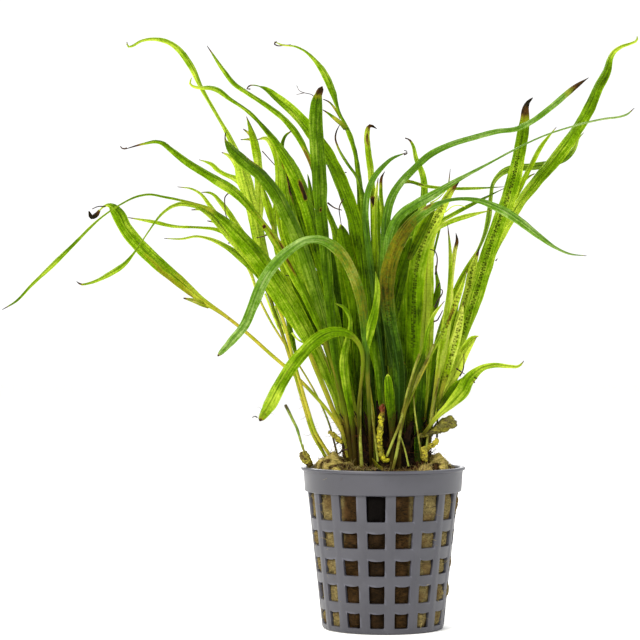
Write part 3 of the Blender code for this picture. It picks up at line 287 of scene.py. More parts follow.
@dataclass(frozen=True)
class Look:
    """How one leaf is coloured.

    Attributes:
        kind: its tissue.
        tones: from 0 for the deep colour to 1 for the bright one, at its foot, middle and tip; they include painted
            shade and light.
        dead: length of the dead tip, in mm.
        grey: 1 for a dead tip bleached grey-brown instead of black.
        spores: where along the leaf the spore rows run, as shares from root to tip.
        mottle: how far brown mottling covers it.
        mottled: where along the leaf the mottling lies, as shares.
        fold: how far the blade is folded along its midrib.
        stalk: up to which share of its length a narrow part is a bare stalk.
        whip: length of the thin thread that its tip ends in, in mm.
        blunt: length over which its tip is rounded off, in mm.
        bow: how far its lower part bows towards the viewer, in mm.
        scaly: how far its foot is brown, scaly and painted in shade.
        young: length of its pale young tip, in mm.
    """

    kind: LeafKind
    tones: tuple[float, float, float] = (0.2, 0.4, 0.5)
    dead: float = 3.0
    grey: float = 0.0
    spores: tuple[float, float] | None = None
    mottle: float = 0.0
    mottled: tuple[float, float] = (0.3, 0.8)
    fold: float = 0.3
    stalk: float = 0.5
    whip: float = 0.0
    blunt: float = 0.0
    bow: float = 0.0
    scaly: float = 0.7
    young: float = 0.0


G, P, D, B, O = LeafKind.GREEN, LeafKind.PALE, LeafKind.DARK, LeafKind.BLUE_GREEN, LeafKind.OLIVE

# The tones below hold painted shade and painted light as well as each leaf's own colour
LOOKS: dict[str, Look] = {
    "left_01": Look(G, (1.3, 0.75, 0.75), 0.8, scaly=0.3), "left_02": Look(G, (0.45, 0.3, 0.6), 0, young=8),
    "left_03": Look(G, (0.5, 0.45, 0.6), 3, mottle=0.4, mottled=(0.5, 0.72)),
    "left_04": Look(G, (0.5, 0.2, 0.65), 2.5, whip=5), "left_05": Look(G, (0.4, 0.35, 0.6), 0.6, young=10),
    "left_06": Look(D, (0.25, 0.4, 0.55), 3.8, 0.5, blunt=3, bow=-4.5), "left_07": Look(D, (0.65, 0.2, 0.7), 7),
    "left_08": Look(G, (-0.2, 0.6, 0.45), 5, mottle=0.55, mottled=(0.45, 0.75)),
    "left_09": Look(G, (0.65, 0.5, 0.6), 2),
    "left_10": Look(G, (1.3, 0.8, 0.35), 0.5, young=6, mottle=0.7, mottled=(0.28, 0.78), blunt=2, scaly=0.2),
    "left_11": Look(G, (1.15, 0.75, 0.6), 2, scaly=0.15), "left_12": Look(P, (0.15, 0.45, 0.55), 2),
    "left_13": Look(G, (1.3, 0.15, 1.1), 1.2, scaly=0.15),
    "left_14": Look(B, (-0.3, 0.6, 0.55), 0.8, mottle=0.8, mottled=(0.28, 0.64), stalk=0.3, blunt=5, bow=5.5),
    "left_15": Look(G, (-0.3, 0.35, 0.75), 1, blunt=5), "left_16": Look(P, (0.6, 1.1, 0.6), 1.5),
    "left_17": Look(P, (0.4, 0.4, 0.6), 0.5), "left_18": Look(P, (0.65, 1.3, 0.3), 1),
    "left_19": Look(D, (0.35, 0.65, 0.4), 2.5, mottle=0.4, mottled=(0.86, 1), whip=2.5),
    "left_20": Look(P, (0.2, 1.3, 0.3), 1.4), "left_21": Look(P, (0.35, 0.55, 0.55), 1),
    "left_22": Look(G, (0.3, 0.65, 0.35), 1, blunt=1.5),
    "centre_01": Look(G, (-0.1, 0.55, 0.55), 0, blunt=0, stalk=0.15),
    "centre_02": Look(G, (-0.15, 0.55, 0.55), 0, scaly=0.2), "centre_03": Look(P, (-0.15, -0.15, 0.9), 2),
    "centre_04": Look(G, (0.1, -0.15, 0.5), 0, blunt=5, stalk=0),
    "centre_07": Look(P, (0.35, 0, 0.75), 5, mottle=0.45, mottled=(0.75, 1)),
    "centre_08": Look(B, (-0.3, 0.15, 0.5), 1.5, mottle=0.3, mottled=(0.3, 0.7), stalk=0.1),
    "centre_09": Look(G, (-0.1, 0.5, 0.6), 3, stalk=0.1), "centre_13": Look(G, (0, 0.3, 0.7), 5, 0.3),
    "right_01": Look(G, (0.95, 0.75, 0.15), 0, young=16), "right_02": Look(B, (-0.3, 0.45, 0.65), 8, 0.4, stalk=0.2),
    "right_03": Look(G, (0.7, 0.6, 0.3), 8, 0.2, (0.3, 0.88), blunt=1.5),
    "right_04": Look(B, (0.05, 0.5, 0.85), 1.5, stalk=0.15),
    "right_05": Look(B, (-0.3, 0.3, 0.7), 1, spores=(0.3, 0.6), mottle=0.95, mottled=(0.3, 0.66), stalk=0.1, bow=-3),
    "right_06": Look(G, (1.2, 0.5, 1), 1), "right_10": Look(D, (0.95, 0.85, 0.45), 0.5, young=10, stalk=0.2),
    "right_11": Look(P, (0.05, -0.3, 0.65), 1.5),
    "right_12": Look(G, (0.25, 0.3, 1.25), 5, 0.2, (0.34, 0.93), mottle=0.3, mottled=(0.7, 1)),
    "right_13": Look(P, (-0.2, 0.85, 1.2), 5, 0.1), "right_14": Look(P, (1.15, 0.55, 0.6), 4),
    "right_15": Look(G, (0.35, 0.85, 1.2), 3, 0, (0.3, 0.95)), "right_16": Look(G, (0.35, 0.9, 0.5), 2),
    "right_17": Look(G, (0.55, 1.15, 0.1), 2, mottle=0.35, stalk=0.1),
    "right_18": Look(P, (1.1, 0.55, 0.65), 1, stalk=0.15),
    "right_19": Look(G, (-0.25, 0.55, 0.8), 1.5, 0, (0.62, 0.9), mottle=0.4, mottled=(0.6, 1), bow=4),
    "right_20": Look(G, (0.65, -0.2, 1), 1.5, bow=4), "right_21": Look(P, (-0.3, 0.4, 1), 1.5, 0, (0.4, 0.95)),
    "right_22": Look(G, (0.55, 1.3, 1.3), 0.8, young=8, scaly=0.3), "right_23": Look(G, (0.1, 0.4, 0.5), 4, 0.2),
}


@dataclass(frozen=True)
class Patch:
    """A dead or brown patch on a leaf, placed as it reads from the front and drawn out along the leaf.

    Attributes:
        leaf: the leaf's name.
        across: mm to the right of the pot's axis.
        up: mm above the pot's base.
        reach: its radii across the leaf and along it, in mm.
        depth: 1 for black, 0.5 for brown.
    """

    leaf: str
    across: float
    up: float
    reach: tuple[float, float]
    depth: float = 1.0


PATCHES: tuple[Patch, ...] = (
    Patch("left_10", -75.6, 119.8, (0.6, 4.5), 0.4), Patch("left_10", -70.2, 115, (0.8, 5.5), 0.42),
    Patch("left_10", -65, 110.8, (0.8, 4.5), 0.4), Patch("left_22", -33.2, 153.6, (0.5, 3)),
    Patch("left_22", -31.4, 149, (0.55, 3.6)), Patch("left_22", -29.6, 145, (0.6, 3.6)),
    Patch("left_22", -28.5, 141.8, (0.5, 2.6), 0.8), Patch("left_02", -26.6, 144.4, (0.9, 2.2), 0.85),
    Patch("left_02", -25.6, 142, (0.7, 1.6)), Patch("left_08", -38.8, 131.6, (0.6, 0.8)),
    Patch("left_08", -33.4, 125, (0.6, 3), 0.6), Patch("left_08", -30.4, 119, (0.6, 4), 0.6),
    Patch("left_08", -36, 128.6, (0.5, 2), 0.5), Patch("centre_03", -3.2, 140.6, (0.5, 2)),
    Patch("centre_07", -3.7, 140.5, (0.5, 1.6)), Patch("left_06", -20.5, 137, (0.4, 0.5)),
    Patch("left_02", -20.3, 136.4, (0.5, 0.6)), Patch("right_05", 14.6, 138.4, (1, 2.2), 0.5),
    Patch("centre_07", -5.4, 160, (0.7, 3), 0.5), Patch("left_03", -24.3, 153, (0.6, 6), 0.55),
    Patch("right_19", 22.4, 103, (0.6, 3.4), 0.5), Patch("left_19", -43, 154, (0.7, 5), 0.5),
)


def new_object(name: str, data: Any) -> bpy.types.Object:
    """Put data into the scene as an object at the origin."""
    item = bpy.data.objects.new(name, data)
    bpy.context.scene.collection.objects.link(item)
    return item


def copy_object(item: bpy.types.Object, name: str) -> bpy.types.Object:
    """Put a copy of a mesh object into the scene under another name."""
    return new_object(name, item.data.copy())


def read_points(mesh: bpy.types.Mesh, label: str = "co") -> np.ndarray:
    """Return the place of each point of a mesh, in metres, or its normal."""
    rows = np.empty(len(mesh.vertices) * 3, np.float32)
    mesh.vertices.foreach_get(label, rows)
    return rows.reshape(-1, 3)


def write_points(mesh: bpy.types.Mesh, name: str, rows: Any) -> None:
    """Store an attribute with a number, or a row of three, for each point of a mesh."""
    values = np.asarray(rows, np.float32)
    kind, label = ("FLOAT", "value") if values.ndim == 1 else ("FLOAT_VECTOR", "vector")
    mesh.attributes.new(name, kind, "POINT").data.foreach_set(label, values.reshape(-1))


def bridge(start: int, rows: int, around: int, flip: bool = False, closed: bool = True) -> list[tuple[int, ...]]:
    """Join rows of points with faces.

    Args:
        start: number of the first point.
        rows: how many rows there are.
        around: points in each row.
        flip: whether the faces look the other way.
        closed: whether each row's last point joins its first.

    Returns:
        The faces.
    """
    faces = []
    for here in range(start, start + (rows - 1) * around, around):
        above = here + around
        for k in range(around if closed else around - 1):
            after = (k + 1) % around
            face = (here + k, here + after, above + after, above + k)
            faces.append(face[::-1] if flip else face)
    return faces


def tube(total: int, around: int) -> list[tuple[int, ...]]:
    """Return the faces of a closed tube of total points, around of them in each row."""
    ends = [tuple(range(around))[::-1], tuple(range(total - around, total))]
    return bridge(0, total // around, around) + ends


def from_view(across: Any, up: Any, depth: Any) -> np.ndarray:
    """Place what the front view shows.

    Args:
        across: mm to the right of the pot's axis, on the plane through it.
        up: mm above the pot's base, on the same plane.
        depth: mm behind that plane.

    Returns:
        The points in mm.
    """
    spread = 1.0 - np.asarray(depth) / EYE[1]
    x = EYE[0] + (np.asarray(across) - EYE[0]) * spread
    z = EYE[2] + (np.asarray(up) - EYE[2]) * spread
    return np.stack([x, np.asarray(depth) + 0.0 * x, z], axis=-1)


def to_view(points: np.ndarray) -> tuple[np.ndarray, np.ndarray]:
    """Return where points in mm are seen from the front, across and up."""
    spread = 1.0 - points[:, 1] / EYE[1]
    return EYE[0] + (points[:, 0] - EYE[0]) / spread, EYE[2] + (points[:, 2] - EYE[2]) / spread


def running_length(points: np.ndarray) -> np.ndarray:
    """Return the distance along a row of points, from its start to each."""
    return np.concatenate([[0.0], np.cumsum(np.linalg.norm(np.diff(points, axis=0), axis=1))])


def smooth_through(at: np.ndarray, values: np.ndarray, wanted: np.ndarray) -> np.ndarray:
    """Read a smooth curve through values at unevenly spaced stations.

    Args:
        at: the stations, rising.
        values: one row for each station.
        wanted: where to read.

    Returns:
        One row for each wanted place.
    """
    slopes = np.gradient(values, at, axis=0)
    k = np.clip(np.searchsorted(at, wanted, side="right") - 1, 0, len(at) - 2)
    span = (at[k + 1] - at[k])
    t = ((wanted - at[k]) / span)[:, None]
    span = span[:, None]
    start, end = values[k], values[k + 1]
    return ((2 * t ** 3 - 3 * t ** 2 + 1) * start + (t ** 3 - 2 * t ** 2 + t) * span * slopes[k]
            + (3 * t ** 2 - 2 * t ** 3) * end + (t ** 3 - t ** 2) * span * slopes[k + 1])


def clamp(values: Any) -> Any:
    """Return the values held between 0 and 1."""
    return np.clip(values, 0.0, 1.0)


def unit(rows: np.ndarray) -> np.ndarray:
    """Return the rows at length 1."""
    return rows / np.maximum(np.linalg.norm(rows, axis=-1, keepdims=True), 1e-9)


def ripple(seed: float, at: np.ndarray, length: float) -> np.ndarray:
    """Return a smooth random wave along a leaf.

    Args:
        seed: which wave.
        at: places in mm.
        length: about how long one wave is, in mm.

    Returns:
        Values from about -1 to 1.
    """
    return np.array([noise.noise(Vector((seed * 7.31, s / length, seed * 1.7))) for s in at]) * 1.6


@dataclass
class Spine:
    """A leaf's midrib: centres, sideways directions and widths from root to tip, in mm."""

    centre: np.ndarray
    side: np.ndarray
    width: np.ndarray

    @classmethod
    def from_solid(cls, item: bpy.types.Object) -> "Spine":
        """Read the rings of four points that a leaf's solid is lofted through.

        Args:
            item: the leaf's CAD node. It is only read.

        Returns:
            The midrib, root first.
        """
        places = read_points(item.data).astype(float) / MM
        _, first, where = np.unique(np.round(places / 0.002).astype(np.int64), axis=0, return_index=True,
                                    return_inverse=True)
        where = where.reshape(-1)
        points = places[first]
        links: list[set[int]] = [set() for _ in points]
        for polygon in item.data.polygons:
            corners = [int(where[v]) for v in polygon.vertices]
            for a in corners:
                links[a].update(c for c in corners if c != a)
        rings = cls._layers(points, links)
        return cls._from_rings(points, rings)

    @staticmethod
    def _layers(points: np.ndarray, links: list[set[int]]) -> list[list[int]]:
        """Find the tip, and return the rings of four from the root to it."""
        best: list[list[int]] = []
        for start in range(len(points)):
            if len(links[start]) != 4:
                continue
            seen = {start}
            layers = [[start]]
            while True:
                following = sorted({n for v in layers[-1] for n in links[v]} - seen)
                if not following:
                    break
                seen.update(following)
                layers.append(following)
            if all(len(layer) == 4 for layer in layers[1:]) and len(layers) > len(best):
                best = layers
        return best[::-1]

    @classmethod
    def _from_rings(cls, points: np.ndarray, rings: list[list[int]]) -> "Spine":
        """Turn rings of four points into centres, sideways directions and widths."""
        centres, options = [], []
        for ring in rings[:-1]:
            corners = points[ring]
            centre = corners.mean(axis=0)
            spokes = corners - centre
            partner = min((1, 2, 3), key=lambda k: float(unit(spokes[0]) @ unit(spokes[k])))
            others = [k for k in (1, 2, 3) if k != partner]
            options.append((corners[partner] - corners[0], corners[others[1]] - corners[others[0]]))
            centres.append(centre)
        spreads = [max(np.linalg.norm(a), np.linalg.norm(b)) for a, b in options]
        widest = int(np.argmax(spreads))
        chosen: list[np.ndarray] = [np.zeros(3)] * len(options)
        chosen[widest] = max(options[widest], key=lambda v: float(np.linalg.norm(v)))
        if chosen[widest][0] < 0.0:
            chosen[widest] = -chosen[widest]
        for step, stop in ((1, len(options)), (-1, -1)):
            for k in range(widest + step, stop, step):
                before = unit(chosen[k - step])
                pick = max(options[k], key=lambda v: abs(float(unit(v) @ before)))
                chosen[k] = pick if float(pick @ before) >= 0.0 else -pick
        centres.append(points[rings[-1][0]])
        widths = [float(np.linalg.norm(v)) for v in chosen]
        sides = [unit(v) for v in chosen]
        return cls(np.array(centres), np.array(sides + sides[-1:]), np.array(widths + [0.12]))

    @classmethod
    def from_route(cls, route: Sequence[tuple[float, float, float]], depths: tuple[float, float],
                   turn: float) -> "Spine":
        """Make a small leaf or lobe from its reading in the front view.

        Args:
            route: (across, up, width) in mm, root first.
            depths: depth of the root and of the tip, in mm.
            turn: degrees that the blade is turned about its midrib.

        Returns:
            The midrib.
        """
        rows = np.asarray(route, dtype=float)
        flat = running_length(rows[:, :2])
        wanted = np.linspace(0.0, flat[-1], max(4, int(flat[-1] / 1.5)))
        rows = smooth_through(flat, rows, wanted)
        depth = depths[0] + (depths[1] - depths[0]) * (wanted / flat[-1]) ** 1.3
        centre = from_view(rows[:, 0], rows[:, 1], depth)
        tangent = unit(np.gradient(centre, axis=0))
        plain = unit(np.cross((0.0, 1.0, 0.0), tangent))
        angle = math.radians(turn)
        side = plain * math.cos(angle) + np.cross(tangent, plain) * math.sin(angle)
        return cls(centre, side, np.maximum(rows[:, 2], 0.15) / math.cos(angle))

    def fine(self, pitch: float) -> "Spine":
        """Return the same midrib with stations about pitch mm apart."""
        at = running_length(self.centre)
        wanted = np.linspace(0.0, at[-1], max(8, int(round(at[-1] / pitch))) + 1)
        centre = smooth_through(at, self.centre, wanted)
        side = smooth_through(at, self.side, wanted)
        tangent = unit(np.gradient(centre, axis=0))
        side = unit(side - tangent * (side * tangent).sum(axis=1)[:, None])
        width = np.maximum(smooth_through(at, self.width[:, None], wanted)[:, 0], 0.1)
        return Spine(centre, side, width)

    def depth_near(self, across: float, up: float) -> float:
        """Return the depth of the midrib's point that is seen nearest to (across, up)."""
        seen_across, seen_up = to_view(self.centre)
        return float(self.centre[np.argmin((seen_across - across) ** 2 + (seen_up - up) ** 2), 1])


@dataclass
class Blade:
    """Lofts one leaf: a round stalk that opens into a thin blade with a raised midrib.

    Attributes:
        stalk_width: width below which the section is a round stalk.
        blade_width: width above which it is a flat blade.
        columns: places across the blade, as shares from its midrib to its edges.
        edge_thick: thickness at the edges.
        rib_height: how far the midrib stands out underneath.
        mid_thick: what the middle has more than the edges, in a blade 3 mm wide or more.
        waver: how far the width wavers, as a share.
        wave: height of the slow waves at the edges.
        crimp: height of the short ones.
        pitch: distance between stations.
        foot_top: height above the pot's base where the brown scales and painted shade of the stalks' feet end.
        foot_fade: height over which that brown and shade come in.
        foot_width: the widest that a foot is.
        root_depth: how far a foot goes on into the roots or the rockwool.
    """

    stalk_width: float = 1.25
    blade_width: float = 2.3
    columns: tuple[float, ...] = (-1.0, -0.74, -0.42, -0.14, 0.0, 0.14, 0.42, 0.74, 1.0)
    edge_thick: float = 0.2
    rib_height: float = 0.26
    mid_thick: float = 0.22
    waver: float = 0.06
    wave: float = 0.42
    crimp: float = 0.18
    pitch: float = 1.0
    foot_top: float = 74.0
    foot_fade: float = 14.0
    foot_width: float = 1.5
    root_depth: float = 3.0

    def mesh(self, name: str, spine: Spine, look: Look, patches: Iterable[Patch], seed: float,
             base: float = 0.0) -> bpy.types.Object:
        """Build a leaf's mesh with the attributes that its tissue reads.

        Args:
            name: the piece's name.
            spine: its midrib.
            look: how it is coloured.
            patches: dead patches on it.
            seed: which random waves it gets.
            base: how far the foot of the leaf has the stalk's colour and its painted shade, even where it is wide.

        Returns:
            The object, in metres, at the origin.
        """
        fine = spine.fine(self.pitch)
        fine.centre[0] -= unit(fine.centre[1] - fine.centre[0]) * self.root_depth * (base > 0.0)
        low = clamp((self.foot_top - fine.centre[:, 2]) / self.foot_fade) * (base > 0.0)
        at = running_length(fine.centre)
        length = at[-1]
        fine.centre[:, 1] -= look.bow * np.sin(math.pi * clamp(at / length / 0.8)) ** 0.7
        tangent = unit(np.gradient(fine.centre, axis=0))
        out = np.cross(fine.side, tangent)
        out *= np.where((out[:, 1] > 0.0).mean() > 0.5, -1.0, 1.0)
        width = self.tip(at, fine.width, look)
        width += (np.minimum(width, self.foot_width) - width) * low
        width *= 1.0 + self.waver * ripple(seed, at, 6.0) * clamp(width / 2.5 - 0.5)
        leafy = clamp((width - self.stalk_width) / (self.blade_width - self.stalk_width))
        leafy = leafy * leafy * (3.0 - 2.0 * leafy)
        leafy = np.maximum(leafy, clamp((at / length - look.stalk) / 0.12))
        u = np.array(self.columns)
        half = 0.5 * width[:, None]
        swell = clamp(width / 3.0)[:, None]
        fold = look.fold * np.abs(u)[None, :] ** 1.4 * half
        left_wave = ripple(seed + 11.0, at, 9.0)[:, None]
        right_wave = ripple(seed + 23.0, at, 9.0)[:, None]
        crimp = ripple(seed + 31.0, at, 2.6)[:, None] * np.where(u < 0, -0.6, 1.0)[None, :]
        waves = (np.where(u < 0, left_wave, right_wave) * self.wave + crimp * self.crimp) * (u ** 2)[None, :] * swell
        middle = waves - fold
        thick = self.edge_thick + self.mid_thick * (1.0 - u ** 2)[None, :] * swell
        ridge = self.rib_height * np.exp(-(u[None, :] * half / 0.42) ** 2) * swell
        round_x = np.sin(u * math.pi / 2)[None, :] * half
        round_h = np.cos(u * math.pi / 2)[None, :] * np.minimum(half, 0.45)
        flat_x = u[None, :] * half
        blade = leafy[:, None]
        x = blade * flat_x + (1 - blade) * round_x
        upper = blade * (middle + 0.5 * thick) + (1 - blade) * round_h
        lower = blade * (middle - 0.5 * thick - ridge) - (1 - blade) * round_h
        upper[:, [0, -1]] = lower[:, [0, -1]] = blade * middle[:, [0, -1]]
        ring = 2 * len(u) - 2
        offset_x = np.concatenate([x, x[:, -2:0:-1]], axis=1)
        offset_h = np.concatenate([upper, lower[:, -2:0:-1]], axis=1)
        points = (fine.centre[:, None, :] + fine.side[:, None, :] * offset_x[:, :, None]
                  + out[:, None, :] * offset_h[:, :, None]).reshape(-1, 3)
        item = add_mesh(name, points, tube(len(points), ring))
        self._paint(item.data, look, patches, points, at, offset_x, leafy, ring, base, seed)
        self._outward(item.data)
        item.data.set_sharp_from_angle(angle=math.radians(75))
        return item

    @staticmethod
    def tip(at: np.ndarray, width: np.ndarray, look: Look) -> np.ndarray:
        """Draw a leaf's tip out to a thread, or round it off.

        Args:
            at: distance of each station from the foot, in mm.
            width: the leaf's width there.
            look: which tip it has.

        Returns:
            The new widths.
        """
        left = at[-1] - at
        if look.whip:
            opened = clamp((left - look.whip) / 4.0)
            width = np.minimum(width, 0.45 + (width - 0.45) * opened * (2.0 - opened))
        if look.blunt:
            full = np.interp(look.blunt, left[::-1], width[::-1])
            share = clamp(left / look.blunt)
            width = np.where(left < look.blunt, np.maximum(full * np.sqrt(1.0 - (1.0 - share) ** 2), 0.3), width)
        return width.copy()

    @staticmethod
    def _outward(made: bpy.types.Mesh) -> None:
        """Turn every face outwards and shade it smooth."""
        cage = bmesh.new()
        cage.from_mesh(made)
        bmesh.ops.recalc_face_normals(cage, faces=cage.faces)
        cage.to_mesh(made)
        cage.free()
        made.shade_smooth()

    @staticmethod
    def _paint(made: bpy.types.Mesh, look: Look, patches: Iterable[Patch], points: np.ndarray, at: np.ndarray,
               offset_x: np.ndarray, leafy: np.ndarray, ring: int, base: float, seed: float) -> None:
        """Write the leaf's place, looks and stalk attributes to its points."""
        length = at[-1]
        rise = np.repeat(at, ring)
        across = offset_x.reshape(-1)
        share = rise / length
        wear = clamp(1.35 - (length - rise) / max(look.dead, 0.3)) * (1.0 - 0.35 * look.grey)
        wear *= look.dead > 0.0
        seen_across, seen_up = to_view(points)
        for patch in patches:
            middle = np.argmin((seen_across - patch.across) ** 2 + (seen_up - patch.up) ** 2)
            aside, along = across - across[middle], rise - rise[middle]
            away = (aside / patch.reach[0]) ** 2 + (along / patch.reach[1]) ** 2
            wear = np.maximum(wear, patch.depth * clamp(1.5 - away))
        spores = np.zeros_like(share)
        if look.spores:
            low, high = look.spores
            spores = clamp((share - low) / 0.05) * clamp((high - share) / 0.05)
        mottle = np.zeros_like(share)
        if look.mottle:
            low, high = look.mottled
            mottle = look.mottle * clamp((share - low) / 0.1) * clamp((high - share) / 0.1)
        # The tones are painted shade and light as well as the leaf's own tone; a young tip is paler
        tone = np.interp(share, (0.0, 0.5, 1.0), look.tones)
        tone += 0.9 * clamp(1.3 - 1.3 * (length - rise) / max(look.young, 0.1))
        # Below foot_top the foot darkens to brown scales and painted shade, more towards the bottom
        low = clamp((Blade.foot_top - points[:, 2]) / Blade.foot_fade)
        open_blade = np.repeat(leafy, ring) * (1.0 - 0.7 * base * low)
        edge = np.tile(np.abs(np.concatenate([Blade.columns, Blade.columns[-2:0:-1]])), len(at))
        values = {
            "leaf_place": (across, rise + 83.0 * seed, edge),
            "leaf_looks": (tone, wear, spores),
            "leaf_more": (open_blade, mottle, base * low),
        }
        for name, columns in values.items():
            write_points(made, name, np.stack(columns, axis=-1))


@dataclass(frozen=True)
class Lobe:
    """A side lobe, a small leaf or a part hidden among the others, which the solids leave out.

    Attributes:
        name: the piece's name.
        parent: the leaf whose depth it starts from, or nothing for the pot's axis.
        look: how it is coloured.
        route: (across, up, width) in mm as the front view shows it, root first.
        lead: how far its root lies behind the parent, in mm, and its tip behind its root.
        turn: degrees that it is turned about its midrib.
    """

    name: str
    parent: str
    look: Look
    route: tuple[tuple[float, float, float], ...]
    lead: tuple[float, float] = (0.0, 4.0)
    turn: float = 15.0


def shaded_leaf(number: int, kind: LeafKind, tones: tuple[float, float, float],
                route: tuple[tuple[float, float, float], ...], lead: tuple[float, float], turn: float = 15.0) -> Lobe:
    """Return a leaf that stands behind or between the others and has no bare stalk; its tones paint the shade it stands
    in.
    """
    return Lobe("shaded_leaf_%02d" % number, "", Look(kind, tones, 0.0, stalk=0.0), route, lead, turn)


